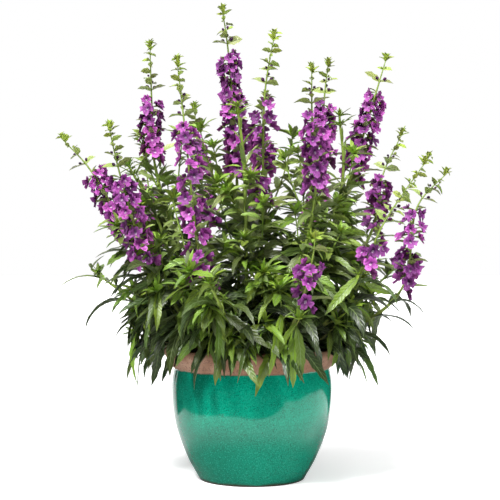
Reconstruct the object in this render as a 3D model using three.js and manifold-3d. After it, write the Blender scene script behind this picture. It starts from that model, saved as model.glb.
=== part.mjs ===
// Potted angelonia: a glazed pot with a bare clay rim, potting soil, flowering stems and leafy shoots.
// Millimetres, +Z up. The origin is the middle of the pot's foot, on the surface that it stands on.
import * as THREE from "three";
import { mergeVertices } from "three/addons/utils/BufferGeometryUtils.js";
import Module from "manifold-3d";

const wasm = await Module();
wasm.setup();

// Pot
const POT_SIDES = 24;
const FOOT_RADIUS = 66;
const FOOT_WIDTH = 12;
const FOOT_RECESS = 3;
const GLAZE_TOP = 140;
const NECK_RADIUS = 98;
const RIM_RADIUS = 111;
const RIM_TOP = 165;
const LIP_WIDTH = 9;
const LIP_ROUND = 1.5;
const WALL = 8;
const FLOOR = 12;
const DRAIN_RADIUS = 8;
const FLOOR_CORNER = 6;
// The belly's outline from the foot to the neck: radius and height.
const BELLY = [
  [67, 2],
  [80.8, 27],
  [96.5, 70],
  [101.5, 118],
  [NECK_RADIUS, GLAZE_TOP],
];
const BELLY_STEPS = 6;
const NECK_STEP = 1.5;
const RIM_DROP = 2;

// Soil
const SOIL_EDGE = 148;
const SOIL_CROWN = 153;
const SOIL_SHOULDER = 0.6;
const SHOULDER_DROP = 1;
const GAP = 0.35;
const HOLE_GAP = 0.45;

// Stems
const STEM_SIDES = 4;
const STEM_STEP = 42;
const ROOT_DEPTH = 14;
const COLLAR_HEIGHT = 158;
const BASE_RADIUS = 2.6;
const LOW_RADIUS = 1.9;
const SHOOT_END_RADIUS = 1.4;
const TOP_RADIUS = 1.4;
const TIP_RADIUS = 0.7;
const JOIN_GAP = 0.3;
const FLOWERS_FROM = 1 / 3;
const BUDS_FROM = 2 / 3;

// Leaves. A pair of numbers holds at the foot and at the top of the mound, and angles are in radians.
const PAIR_SPACING = 38;
const FIRST_PAIR = 0.4;
const LOW_CROWDING = 1.25;
const LEAF_LENGTHS = [97, 48];
const LEAF_RISES = [0.45, 1.2];
const LEAF_BENDS = [1.95, 0.85];
const LEAF_SLENDERNESS = 0.1;
const WIDEST_AT = 0.75;
const LEAF_DEPTH = 1.1;
const PETIOLE_HALF_WIDTH = 0.8;
const PETIOLE_DEPTH = 0.7;
const LEAF_FOLD = 0.32;
const LONG_STATIONS = [0, 0.3, 0.66];
const SHORT_STATIONS = [0, 0.42];
const LONG_FROM = 68;
const MOUND_HEIGHT = 400;
const FEWEST_PAIRS = 2;
const STEM_TURN = 2.2;
const PAIR_TURN = Math.PI / 2 + 0.35;
const OUTWARD_PULL = 0.9;
const FULL_PULL_RADIUS = 80;
const HEADING_SPREAD = 0.5;
const RISE_SPREAD = 0.28;
const BEND_SPREAD = 0.3;
const ROLL_SPREAD = 0.7;
const WIDTH_SPREAD = 0.15;
const LENGTH_MEAN = 0.93;
const LENGTH_SPREAD = 0.13;

// Tries at a leaf: each one may turn further and is a little shorter.
const LEAF_TRIES = 9;
const DRAWS_PER_TRY = 8;
const TRY_TURN = 0.35;
const TRY_SHORTENING = 0.02;
const CLEARANCE = 0.6;
const CLEARANCE_START = 0.16;

// Florets
const FLORET_SPACING = 12;
const FLORET_RADIUS = 13.6;
const FLORET_SPREAD = 0.06;
const SPIKE_TAPER = 0.28;
const TAPER_FROM = 0.55;
const LOBES = 5;
const UPPER_LOBE = 0.84;
const NOTCH = 0.68;
const FLORET_REACH = 11.5;
const LOWER_LOBE_LIFT = 1.6;
const UPPER_LOBE_LIFT = 0.2;
const NOTCH_SINK = 0.4;
const HEART_SINK = 2.4;
const THROAT_SINK = 4.2;
const THROAT_RADIUS = 2.4;
const THROAT_SIDES = 3;
const FLORET_END_MARGIN = 5;
const GOLDEN_ANGLE = THREE.MathUtils.degToRad(137.5);

// Bud tips
const BRACT_SPACING = 14.5;
const BRACT_LENGTH = 17;
const BRACT_HALF_WIDTH = 4;
const BRACT_MARGINS = [9, 1];
const BRACT_OUT = 0.85;
const BRACT_UP = 0.5;
const BRACT_KEEL = 0.45;
const BRACT_SHRINK = 0.5;
const BRACT_SPREAD = 0.12;

// Repeatable numbers
const SEED = 20261;
const STEM_STRIDE = 7919;
const ITEM_STRIDE = 104729;
const DRAW_STRIDE = 1299709;
const MIX_FIRST = 2246822519;
const MIX_SECOND = 3266489917;
const WORD = 4294967296;
const FLORET_ITEMS = 300;
const BRACT_ITEMS = 400;

const MERGE_DISTANCE = 1e-4;

// Each flowering stem: its place in the soil, then where its flowers begin, where they end, and its tip.
const FLOWERING = [
  { root: [-72, -16], low: [-151, -35, 301], top: [-202, -20, 388], tip: [-241, -10, 430] },
  { root: [-50, -48], low: [-123, -80, 270], top: [-157, -95, 377], tip: [-170, -105, 436] },
  { root: [-48, 26], low: [-126, 40, 399], top: [-131, 50, 487], tip: [-134, 60, 560] },
  { root: [-30, -68], low: [-56, -118, 242], top: [-80, -105, 436], tip: [-90, -90, 517] },
  { root: [-16, 0], low: [-19, -10, 376], top: [-30, 5, 539], tip: [-38, 10, 596] },
  { root: [8, -28], low: [13, -48, 343], top: [16, -50, 482], tip: [28, -45, 555] },
  { root: [30, -45], low: [76, -78, 355], top: [72, -80, 454], tip: [72, -75, 509] },
  { root: [36, 30], low: [92, 62, 400], top: [96, 78, 487], tip: [102, 85, 539] },
  { root: [52, 4], low: [124, 0, 377], top: [159, 8, 492], tip: [172, 15, 534] },
  { root: [64, 40], low: [159, 75, 314], top: [176, 98, 389], tip: [206, 115, 450] },
  { root: [58, -50], low: [131, -105, 264], top: [153, -112, 316], tip: [212, -95, 401] },
  { root: [76, -12], low: [183, -35, 236], top: [207, -25, 344], tip: [246, -15, 386] },
  { root: [30, -76], low: [55, -145, 222], top: [69, -155, 279], tip: [72, -160, 303] },
  { root: [-30, 56], low: [-60, 120, 320], top: [-76, 150, 440], tip: [-80, 165, 490] },
  { root: [12, 60], low: [8, 130, 335], top: [14, 158, 452], tip: [20, 172, 507] },
  { root: [42, 68], low: [84, 150, 290], top: [90, 180, 395], tip: [96, 196, 448] },
  { root: [-62, 50], low: [-128, 112, 285], top: [-142, 142, 372], tip: [-150, 162, 424] },
];

// Each leafy shoot without flowers: its place in the soil, a point on its way, and its tip.
const LEAFY = [
  { root: [-6, -60], way: [-10, -68, 395], tip: [-18, -70, 462] },
  { root: [56, -22], way: [113, -25, 376], tip: [109, -25, 455] },
  { root: [-76, 14], way: [-117, 12, 318], tip: [-158, 20, 396] },
  { root: [-74, -2], way: [-142, 8, 216], tip: [-204, 2, 264] },
  { root: [-14, -72], way: [-32, -130, 212], tip: [-48, -178, 250] },
  { root: [68, 20], way: [134, 42, 216], tip: [186, 66, 262] },
  { root: [-8, 76], way: [-10, 142, 214], tip: [-14, 196, 268] },
];

const COLOURS = {
  glaze: [0x0c8a6c, 0.18],
  soil: [0x3a2a20, 0.95],
  green: [0x3f6b28, 0.6],
  violet: [0x9a2ca6, 0.55],
  bud: [0x86ae34, 0.6],
};

// A repeatable number from 0 to 1 for a stem, an item on it and a draw.
function chance(stem, item, draw) {
  let hash = SEED + stem * STEM_STRIDE + item * ITEM_STRIDE + draw * DRAW_STRIDE;
  hash = Math.imul(hash ^ (hash >>> 15), MIX_FIRST);
  hash = Math.imul(hash ^ (hash >>> 13), MIX_SECOND);
  return ((hash ^ (hash >>> 16)) >>> 0) / WORD;
}

// The same number spread evenly from -1 to 1.
function spread(stem, item, draw) {
  return 2 * chance(stem, item, draw) - 1;
}

function vector(values) {
  return new THREE.Vector3(...values);
}

// A value between the two of a pair.
function between(pair, part) {
  return THREE.MathUtils.lerp(pair[0], pair[1], part);
}

// A closed three.js geometry as a solid that can be joined and cut.
function solidOf(geometry) {
  const bare = new THREE.BufferGeometry();
  bare.setAttribute("position", geometry.getAttribute("position"));
  bare.setIndex(geometry.getIndex());
  const merged = mergeVertices(bare, MERGE_DISTANCE);
  const mesh = new wasm.Mesh({
    numProp: 3,
    vertProperties: new Float32Array(merged.getAttribute("position").array),
    triVerts: new Uint32Array(merged.getIndex().array),
  });
  return new wasm.Manifold(mesh);
}

// A geometry from a list of points and a list of triangles.
function geometryOf(points, triangles) {
  const geometry = new THREE.BufferGeometry();
  geometry.setAttribute(
    "position",
    new THREE.Float32BufferAttribute(points.flatMap((p) => p.toArray()), 3),
  );
  geometry.setIndex(triangles);
  return geometry;
}

// A skin over rings of equal count, closed by an end point or a flat cap. The diagonals turn about from
// one side of a ring to the next, so both faces of a blade fold alike.
function loft(rings, apex) {
  const count = rings[0].length;
  const points = rings.flat();
  const triangles = [];
  for (let ring = 0; ring + 1 < rings.length; ring += 1) {
    for (let side = 0; side < count; side += 1) {
      const a = ring * count + side;
      const b = ring * count + ((side + 1) % count);
      const c = a + count;
      const d = b + count;
      if (side % 2 === 0) triangles.push(a, b, d, a, d, c);
      else triangles.push(a, b, c, b, d, c);
    }
  }
  for (let side = 1; side + 1 < count; side += 1) {
    triangles.push(0, side + 1, side);
  }
  const last = (rings.length - 1) * count;
  if (apex) points.push(apex);
  const sides = apex ? count : count - 2;
  for (let side = 0; side < sides; side += 1) {
    if (apex) triangles.push(last + side, last + ((side + 1) % count), points.length - 1);
    else triangles.push(last, last + side + 1, last + side + 2);
  }
  return geometryOf(points, triangles);
}

// The two directions across a stem that runs along the given direction.
function across(along) {
  const u = new THREE.Vector3(0, 1, 0).cross(along).normalize();
  const v = along.clone().cross(u);
  return [u, v];
}

function stemRing(centre, along, radius) {
  const [u, v] = across(along);
  return Array.from({ length: STEM_SIDES }, (_, side) => {
    const angle = (2 * Math.PI * side) / STEM_SIDES;
    return centre
      .clone()
      .addScaledVector(u, radius * Math.cos(angle))
      .addScaledVector(v, radius * Math.sin(angle));
  });
}

// A stem's course above its collar, through the points of its row.
function courseOf(row) {
  const collar = new THREE.Vector3(...row.root, COLLAR_HEIGHT);
  const marks = row.way ? [row.way, row.tip] : [row.low, row.top, row.tip];
  return new THREE.CatmullRomCurve3([collar, ...marks.map(vector)], false, "centripetal");
}

function stepsBetween(course, from, to) {
  const length = course.getPoint(from).distanceTo(course.getPoint(to));
  return Math.max(2, Math.round(length / STEM_STEP));
}

// The point on the axis of a stretch of stem, which runs straight from section to section.
function axisPoint(course, from, to, part) {
  const steps = stepsBetween(course, from, to);
  const step = Math.min(steps - 1, Math.floor(part * steps));
  const start = course.getPoint(THREE.MathUtils.lerp(from, to, step / steps));
  const end = course.getPoint(THREE.MathUtils.lerp(from, to, (step + 1) / steps));
  return start.lerp(end, part * steps - step);
}

// A tapered stretch of stem from one place on its course to another, shortened at each open end.
function stretch(course, from, to, radii, shorten) {
  const steps = stepsBetween(course, from, to);
  return Array.from({ length: steps + 1 }, (_, step) => {
    const place = THREE.MathUtils.lerp(from, to, step / steps);
    const along = course.getTangent(place);
    const trim = step === 0 ? shorten[0] : step === steps ? -shorten[1] : 0;
    const centre = course.getPoint(place).addScaledVector(along, trim);
    return stemRing(centre, along, between(radii, step / steps));
  });
}

// The straight foot of a stem, from its depth in the soil up to its collar.
function footRings(root, radius, bottom, top) {
  const up = new THREE.Vector3(0, 0, 1);
  return [bottom, top].map((z) => stemRing(new THREE.Vector3(...root, z), up, radius));
}

function greenStem(row, course, to, endRadius) {
  const foot = footRings(row.root, BASE_RADIUS, SOIL_EDGE - ROOT_DEPTH, COLLAR_HEIGHT);
  const end = row.way ? 0 : JOIN_GAP / 2;
  const rings = stretch(course, 0, to, [BASE_RADIUS, endRadius], [0, end]);
  return solidOf(loft([...foot, ...rings.slice(1)]));
}

// A leaf is an arching midrib that starts on its stem's axis. Its heading is the compass direction that it
// grows towards, and its rise is the midrib's slope, which changes evenly from the base to the tip.
function leafPoint(leaf, part) {
  const turn = leaf.endRise - leaf.rise;
  const rise = leaf.rise + turn * part;
  const out = (leaf.length * (Math.sin(rise) - Math.sin(leaf.rise))) / turn;
  const up = (leaf.length * (Math.cos(leaf.rise) - Math.cos(rise))) / turn;
  return new THREE.Vector3(
    leaf.base.x + out * Math.cos(leaf.heading),
    leaf.base.y + out * Math.sin(leaf.heading),
    leaf.base.z + up,
  );
}

// Half the blade's width at a part of its length: a narrow lance, widest before the middle.
function leafHalfWidth(leaf, part) {
  return Math.max(leaf.halfWidth * Math.sin(Math.PI * part ** WIDEST_AT), PETIOLE_HALF_WIDTH * (1 - part));
}

function leafRing(leaf, part, extra) {
  const rise = leaf.rise + (leaf.endRise - leaf.rise) * part;
  const along = new THREE.Vector3(
    Math.cos(rise) * Math.cos(leaf.heading),
    Math.cos(rise) * Math.sin(leaf.heading),
    Math.sin(rise),
  );
  const level = new THREE.Vector3(-Math.sin(leaf.heading), Math.cos(leaf.heading), 0);
  const above = along.clone().cross(level);
  const side = level.clone().multiplyScalar(Math.cos(leaf.roll)).addScaledVector(above, Math.sin(leaf.roll));
  const face = above.clone().multiplyScalar(Math.cos(leaf.roll)).addScaledVector(level, -Math.sin(leaf.roll));
  const half = leafHalfWidth(leaf, part) + extra;
  const lift = LEAF_FOLD * leafHalfWidth(leaf, part);
  const depth = between([PETIOLE_DEPTH, LEAF_DEPTH], Math.min(1, part * 4)) + extra;
  const middle = leafPoint(leaf, part);
  return [
    middle.clone().addScaledVector(side, half).addScaledVector(face, lift),
    middle.clone().addScaledVector(side, -half).addScaledVector(face, lift),
    middle.clone().addScaledVector(face, -depth),
  ];
}

// The parts of its length at which a leaf has a section.
function stationsOf(leaf) {
  return leaf.length < LONG_FROM ? SHORT_STATIONS : LONG_STATIONS;
}

function leafSolid(leaf) {
  const rings = stationsOf(leaf).map((part) => leafRing(leaf, part, 0));
  return solidOf(loft(rings, leafPoint(leaf, 1)));
}

// The room that a leaf needs from a part of its length on: the same blade, a little larger all round.
function leafRoom(leaf, start) {
  const stations = [start, ...stationsOf(leaf).slice(1)];
  const rings = stations.map((part) => leafRing(leaf, part, CLEARANCE));
  return solidOf(loft(rings, leafPoint(leaf, 1 + (2 * CLEARANCE) / leaf.length)));
}

// Everything placed so far, so that a leaf keeps clear of it.
const taken = [];

function take(solid, owner) {
  taken.push({ solid, owner, box: solid.boundingBox() });
}

function boxesMeet(a, b) {
  return [0, 1, 2].every((k) => a.min[k] <= b.max[k] && b.min[k] <= a.max[k]);
}

// True where a solid touches nothing that is placed by the owners that the test picks.
function isClear(solid, picks) {
  const box = solid.boundingBox();
  const near = taken.filter((item) => picks(item.owner) && boxesMeet(item.box, box));
  return near.every((item) => item.solid.intersect(solid).isEmpty());
}

// A leaf keeps clear of every other stem along its whole length, and of its own stem's leaves further out.
function leafFits(leaf, stemName) {
  const own = `${stemName} leaf`;
  const clearOfOthers = isClear(leafRoom(leaf, 0), (owner) => owner !== stemName && owner !== own);
  return clearOfOthers && isClear(leafRoom(leaf, CLEARANCE_START), (owner) => owner === own);
}

// The compass direction of a leaf: pairs turn up the stem, and the leaves of outer stems turn outwards.
function headingOf(base, stemIndex, item, attempt) {
  const pair = Math.floor(item / 2);
  const start = STEM_TURN * stemIndex + PAIR_TURN * pair + Math.PI * (item % 2);
  const turn = HEADING_SPREAD * spread(stemIndex, item, attempt * DRAWS_PER_TRY);
  const heading = start + turn * (1 + attempt * TRY_TURN);
  const pull = OUTWARD_PULL * Math.min(1, Math.hypot(base.x, base.y) / FULL_PULL_RADIUS);
  return heading + pull * Math.sin(Math.atan2(base.y, base.x) - heading);
}

// One try at a leaf. Leaves high on the plant are short and stand up, low ones are long and hang over.
function leafTry(base, stemIndex, item, attempt) {
  const vary = (draw) => spread(stemIndex, item, attempt * DRAWS_PER_TRY + draw);
  const height = THREE.MathUtils.clamp((base.z - SOIL_CROWN) / (MOUND_HEIGHT - SOIL_CROWN), 0, 1);
  const rise = between(LEAF_RISES, height) + RISE_SPREAD * vary(1);
  const bend = between(LEAF_BENDS, height) + BEND_SPREAD * vary(2);
  const share = LENGTH_MEAN + LENGTH_SPREAD * vary(3) - TRY_SHORTENING * attempt;
  const length = between(LEAF_LENGTHS, height) * share;
  return {
    base,
    heading: headingOf(base, stemIndex, item, attempt),
    rise,
    endRise: rise - bend,
    roll: ROLL_SPREAD * vary(4),
    length,
    halfWidth: length * LEAF_SLENDERNESS * (1 + WIDTH_SPREAD * vary(5)),
  };
}

// The first try that finds room, or nothing.
function growLeaf(base, stemIndex, item, stemName) {
  for (let attempt = 0; attempt < LEAF_TRIES; attempt += 1) {
    const leaf = leafTry(base, stemIndex, item, attempt);
    if (leafFits(leaf, stemName)) return leafSolid(leaf);
  }
  return null;
}

function growLeaves(course, to, stemIndex, stemName) {
  const length = course.getPoint(0).distanceTo(course.getPoint(to));
  const pairs = Math.max(FEWEST_PAIRS, Math.round(length / PAIR_SPACING));
  const grown = [];
  for (let item = 0; item < 2 * pairs; item += 1) {
    const part = ((Math.floor(item / 2) + FIRST_PAIR) / pairs) ** LOW_CROWDING;
    const solid = growLeaf(axisPoint(course, 0, to, part), stemIndex, item, stemName);
    if (solid) {
      take(solid, `${stemName} leaf`);
      grown.push(solid);
    }
  }
  return grown;
}

// The rim of a floret as rows of reach, radius and angle: a lobe and a notch by turns, two of the five
// lobes above and three below.
function floretRim(size) {
  return Array.from({ length: LOBES }, (_, lobe) => {
    const angle = Math.PI * ((2 * lobe) / LOBES - 0.5);
    const notch = [FLORET_REACH - NOTCH_SINK, size * NOTCH, angle + Math.PI / LOBES];
    const isUpper = lobe === 2 || lobe === 3;
    const lift = isUpper ? UPPER_LOBE_LIFT : LOWER_LOBE_LIFT;
    return [[FLORET_REACH + lift, isUpper ? size * UPPER_LOBE : size, angle], notch];
  }).flat();
}

// A floret: a dished face of five lobes on a short throat from the stem's axis.
function floretSolid(centre, out, up, size) {
  const side = up.clone().cross(out);
  const place = ([reach, radius, angle]) =>
    centre
      .clone()
      .addScaledVector(out, reach)
      .addScaledVector(side, radius * Math.cos(angle))
      .addScaledVector(up, radius * Math.sin(angle));
  const rim = floretRim(size).map(place);
  const throat = Array.from({ length: THROAT_SIDES }, (_, k) =>
    place([FLORET_REACH - THROAT_SINK, THROAT_RADIUS, Math.PI * ((2 * k) / THROAT_SIDES - 0.5)]),
  );
  const points = [...rim, ...throat, place([FLORET_REACH - HEART_SINK, 0, 0]), centre.clone()];
  const heart = points.length - 2;
  const root = points.length - 1;
  const throatBy = (k) => rim.length + (Math.round((k * THROAT_SIDES) / rim.length) % THROAT_SIDES);
  const triangles = [];
  for (let k = 0; k < rim.length; k += 1) {
    const next = (k + 1) % rim.length;
    triangles.push(heart, k, next, next, k, throatBy(k));
    if (throatBy(k) !== throatBy(next)) triangles.push(next, throatBy(k), throatBy(next));
  }
  for (let k = 0; k < THROAT_SIDES; k += 1) {
    triangles.push(rim.length + ((k + 1) % THROAT_SIDES), rim.length + k, root);
  }
  return solidOf(geometryOf(points, triangles));
}

// The places of items a set distance apart along part of a course, turned on by the golden angle.
function whorl(course, from, to, margins, spacing) {
  const length = course.getPoint(from).distanceTo(course.getPoint(to));
  const usable = length - margins[0] - margins[1];
  const count = Math.max(1, Math.round(usable / spacing)) + 1;
  return Array.from({ length: count }, (_, item) => {
    const distance = margins[0] + (usable * item) / (count - 1);
    const along = course.getTangent(THREE.MathUtils.lerp(from, to, distance / length));
    const [u, v] = across(along);
    const angle = item * GOLDEN_ANGLE;
    const out = u.multiplyScalar(Math.cos(angle)).addScaledVector(v, Math.sin(angle));
    return { item, count, point: axisPoint(course, from, to, distance / length), along, out };
  });
}

function growSpike(course, stemIndex) {
  const ends = [JOIN_GAP / 2, JOIN_GAP / 2];
  const rachis = stretch(course, FLOWERS_FROM, BUDS_FROM, [LOW_RADIUS, TOP_RADIUS], ends);
  const margins = [FLORET_END_MARGIN, FLORET_END_MARGIN];
  const florets = whorl(course, FLOWERS_FROM, BUDS_FROM, margins, FLORET_SPACING).map((spot) => {
    const upper = Math.max(0, spot.item / spot.count - TAPER_FROM) / (1 - TAPER_FROM);
    const vary = 1 + FLORET_SPREAD * spread(stemIndex, FLORET_ITEMS + spot.item, 0);
    return floretSolid(spot.point, spot.out, spot.along, FLORET_RADIUS * (1 - SPIKE_TAPER * upper) * vary);
  });
  return [solidOf(loft(rachis)), ...florets];
}

// A small bract with its bud: a three-sided spindle from the stem's axis, out and up.
function bractSolid(spot, length, halfWidth) {
  const out = spot.out.clone().multiplyScalar(BRACT_OUT);
  const along = out.addScaledVector(spot.along, BRACT_UP).normalize();
  const side = spot.along.clone().cross(spot.out).normalize();
  const under = side.clone().cross(along);
  const middle = spot.point.clone().addScaledVector(along, length / 2);
  const points = [
    middle.clone().addScaledVector(side, halfWidth),
    middle.clone().addScaledVector(under, -halfWidth * BRACT_KEEL),
    middle.clone().addScaledVector(side, -halfWidth),
    spot.point.clone().addScaledVector(along, length),
    spot.point.clone(),
  ];
  return solidOf(geometryOf(points, [1, 0, 4, 2, 1, 4, 0, 2, 4, 0, 1, 3, 1, 2, 3, 2, 0, 3]));
}

function growTip(course, stemIndex) {
  const rachis = stretch(course, BUDS_FROM, 1, [TOP_RADIUS, TIP_RADIUS], [JOIN_GAP / 2, 0]);
  const bracts = whorl(course, BUDS_FROM, 1, BRACT_MARGINS, BRACT_SPACING).map((spot) => {
    const shrink = 1 - BRACT_SHRINK * (spot.item / spot.count);
    const vary = 1 + BRACT_SPREAD * spread(stemIndex, BRACT_ITEMS + spot.item, 0);
    return bractSolid(spot, BRACT_LENGTH * shrink * vary, BRACT_HALF_WIDTH * shrink);
  });
  return [solidOf(loft(rachis)), ...bracts];
}

// The belly curve of the pot's outside, from the foot up to the neck.
function bellyPoints() {
  return new THREE.SplineCurve(BELLY.map((pair) => new THREE.Vector2(...pair))).getPoints(BELLY_STEPS);
}

// The inside of the pot's wall, from the floor's edge up to the lip.
function insidePoints() {
  const wall = bellyPoints()
    .filter((point) => point.y > FLOOR + FLOOR_CORNER)
    .map((point) => new THREE.Vector2(point.x - WALL, point.y));
  const lip = new THREE.Vector2(RIM_RADIUS - LIP_WIDTH - LIP_ROUND, RIM_TOP - LIP_ROUND);
  return [new THREE.Vector2(FOOT_RADIUS - WALL, FLOOR), ...wall, lip];
}

function turned(points) {
  const geometry = new THREE.LatheGeometry(points, POT_SIDES);
  geometry.rotateX(Math.PI / 2);
  return solidOf(geometry);
}

function potSolid() {
  const outline = [
    [DRAIN_RADIUS, FLOOR],
    [DRAIN_RADIUS, FOOT_RECESS],
    [FOOT_RADIUS - FOOT_WIDTH - 1, FOOT_RECESS],
    [FOOT_RADIUS - FOOT_WIDTH, 0],
    [FOOT_RADIUS, 0],
  ].map((pair) => new THREE.Vector2(...pair));
  const rim = [
    [NECK_RADIUS + NECK_STEP, GLAZE_TOP + NECK_STEP],
    [RIM_RADIUS, RIM_TOP - LIP_ROUND - RIM_DROP],
    [RIM_RADIUS - LIP_ROUND, RIM_TOP],
    [RIM_RADIUS - LIP_WIDTH, RIM_TOP],
  ].map((pair) => new THREE.Vector2(...pair));
  const loop = [...outline, ...bellyPoints(), ...rim, ...insidePoints().reverse(), outline[0].clone()];
  return turned(loop);
}

// The soil fills the pot from its floor and rises a little towards the middle. Each stem has its own hole.
function soilSolid(roots) {
  const wall = insidePoints()
    .filter((point) => point.y < SOIL_EDGE)
    .map((point) => new THREE.Vector2(point.x - GAP, Math.max(point.y, FLOOR + GAP)));
  const slope = (RIM_RADIUS - LIP_WIDTH - LIP_ROUND - NECK_RADIUS + WALL) / (RIM_TOP - LIP_ROUND - GLAZE_TOP);
  const edge = NECK_RADIUS - WALL + slope * (SOIL_EDGE - GLAZE_TOP) - GAP;
  const body = turned([
    new THREE.Vector2(0, FLOOR + GAP),
    ...wall,
    new THREE.Vector2(edge, SOIL_EDGE),
    new THREE.Vector2(edge * SOIL_SHOULDER, SOIL_CROWN - SHOULDER_DROP),
    new THREE.Vector2(0, SOIL_CROWN),
  ]);
  const holes = roots.map((root) => {
    const bottom = SOIL_EDGE - ROOT_DEPTH - GAP;
    return solidOf(loft(footRings(root, BASE_RADIUS + HOLE_GAP, bottom, COLLAR_HEIGHT)));
  });
  return body.subtract(wasm.Manifold.union(holes));
}

// A named mesh of a solid, placed in its group at the given point.
function meshOf(name, solid, colour, origin) {
  const mesh = solid.getMesh();
  const geometry = new THREE.BufferGeometry();
  geometry.setAttribute("position", new THREE.BufferAttribute(new Float32Array(mesh.vertProperties), 3));
  geometry.setIndex(new THREE.BufferAttribute(new Uint32Array(mesh.triVerts), 1));
  geometry.translate(-origin.x, -origin.y, -origin.z);
  const [shade, roughness] = COLOURS[colour];
  const material = new THREE.MeshStandardMaterial({ color: shade, roughness, metalness: 0 });
  const made = new THREE.Mesh(geometry, material);
  made.name = name;
  return made;
}

function two(number) {
  return String(number).padStart(2, "0");
}

const angelonia = new THREE.Group();
const centre = new THREE.Vector3();
const pot = potSolid();
take(pot, "pot");
const soil = soilSolid([...FLOWERING, ...LEAFY].map((row) => row.root));
take(soil, "soil");
angelonia.add(meshOf("pot", pot, "glaze", centre));
angelonia.add(meshOf("soil", soil, "soil", centre));

const plants = [...FLOWERING, ...LEAFY].map((row, index) => {
  const course = courseOf(row);
  const name = row.way ? `shoot_${two(index - FLOWERING.length + 1)}` : `stem_${two(index + 1)}`;
  const to = row.way ? 1 : FLOWERS_FROM;
  const stem = greenStem(row, course, to, row.way ? SHOOT_END_RADIUS : LOW_RADIUS);
  take(stem, name);
  return { row, index, course, name, to, stem };
});

for (const plant of plants.filter((each) => !each.row.way)) {
  plant.spike = growSpike(plant.course, plant.index);
  plant.bud = growTip(plant.course, plant.index);
  for (const solid of [...plant.spike, ...plant.bud]) take(solid, `${plant.name} flowers`);
}

for (const plant of plants) {
  const leaves = growLeaves(plant.course, plant.to, plant.index, plant.name);
  const origin = new THREE.Vector3(...plant.row.root, SOIL_EDGE);
  const group = new THREE.Group();
  group.position.copy(origin);
  group.add(meshOf(plant.name, wasm.Manifold.union([plant.stem, ...leaves]), "green", origin));
  if (plant.spike) {
    const number = two(plant.index + 1);
    group.add(meshOf(`spike_${number}`, wasm.Manifold.union(plant.spike), "violet", origin));
    group.add(meshOf(`tip_${number}`, wasm.Manifold.union(plant.bud), "bud", origin));
  }
  angelonia.add(group);
}

export default angelonia;
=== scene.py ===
"""A potted angelonia: a speckled glazed pot with a bare clay rim, potting soil, and a bushy plant with violet
flower spikes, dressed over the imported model."""

import logging
import math
from dataclasses import dataclass, fields
from enum import Enum, IntEnum

import bpy
import numpy as np
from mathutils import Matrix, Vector


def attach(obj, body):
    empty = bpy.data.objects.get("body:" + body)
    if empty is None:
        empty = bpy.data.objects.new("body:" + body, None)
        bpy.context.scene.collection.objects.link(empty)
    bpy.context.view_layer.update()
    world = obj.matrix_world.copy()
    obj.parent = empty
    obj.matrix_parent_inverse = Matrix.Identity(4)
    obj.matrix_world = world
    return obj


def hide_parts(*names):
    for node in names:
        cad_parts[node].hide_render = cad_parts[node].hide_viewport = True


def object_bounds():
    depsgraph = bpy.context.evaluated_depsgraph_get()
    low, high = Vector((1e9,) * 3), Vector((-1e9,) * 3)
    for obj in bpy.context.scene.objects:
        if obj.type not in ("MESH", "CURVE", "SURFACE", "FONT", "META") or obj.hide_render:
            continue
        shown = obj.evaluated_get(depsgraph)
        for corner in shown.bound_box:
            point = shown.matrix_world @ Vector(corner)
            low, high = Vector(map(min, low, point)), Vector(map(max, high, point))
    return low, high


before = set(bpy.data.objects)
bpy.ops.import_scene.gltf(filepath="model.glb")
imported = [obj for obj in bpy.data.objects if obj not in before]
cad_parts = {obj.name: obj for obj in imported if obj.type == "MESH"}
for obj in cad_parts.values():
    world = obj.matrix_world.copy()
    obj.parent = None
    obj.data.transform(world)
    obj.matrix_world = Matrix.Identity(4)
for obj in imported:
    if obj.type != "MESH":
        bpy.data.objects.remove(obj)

CAD_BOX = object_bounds()
log = logging.getLogger("angelonia")

MM = 0.001
UP = np.array([0.0, 0.0, 1.0])

# The pot and the soil, in mm
FOOT_RADIUS = 66.0
FOOT_WIDTH = 12.0
FOOT_RECESS = 3.0
GLAZE_TOP = 140.0
NECK_RADIUS = 98.0
RIM_RADIUS = 111.0
RIM_TOP = 165.0
LIP_WIDTH = 9.0
WALL = 8.0
FLOOR = 12.0
DRAIN_RADIUS = 8.0
BELLY = ((67.0, 2.0), (80.8, 27.0), (96.5, 70.0), (101.5, 118.0), (NECK_RADIUS, GLAZE_TOP))
SOIL_EDGE = 148.0
SOIL_CROWN = 153.0
SOIL_GAP = 0.35

# Stems, in mm
COLLAR_HEIGHT = 158.0
ROOT_DEPTH = 14.0
STEM_STEP = 42.0
BASE_RADIUS = 2.6
LOW_RADIUS = 1.9
TOP_RADIUS = 1.4
SHOOT_END_RADIUS = 1.4
TIP_RADIUS = 0.7
STALK_SHARE = 0.8
FLOWERS_FROM = 1 / 3
BUDS_FROM = 2 / 3

# Leaves of the frame. A pair of numbers holds at the foot and at the top of the mound.
PAIR_SPACING = 38.0
FEWEST_PAIRS = 2
FIRST_PAIR = 0.4
LOW_CROWDING = 1.25
LEAF_LENGTHS = (97.0, 48.0)
LEAF_RISES = (0.45, 1.2)
LEAF_BENDS = (1.95, 0.85)
LEAF_SLENDERNESS = 0.1
WIDEST_AT = 0.85
MOUND_HEIGHT = 400.0
STEM_TURN = 2.2
PAIR_TURN = math.pi / 2 + 0.35
OUTWARD_PULL = 0.9
FULL_PULL_RADIUS = 80.0
HEADING_SPREAD = 0.5
RISE_SPREAD = 0.28
BEND_SPREAD = 0.3
ROLL_SPREAD = 0.7
WIDTH_SPREAD = 0.15
LENGTH_MEAN = 0.93
LENGTH_SPREAD = 0.13
LEAF_TRIES = 9
DRAWS_PER_TRY = 8
TRY_TURN = 0.35
TRY_SHORTENING = 0.02
TIP_TOLERANCE = 0.2

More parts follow.
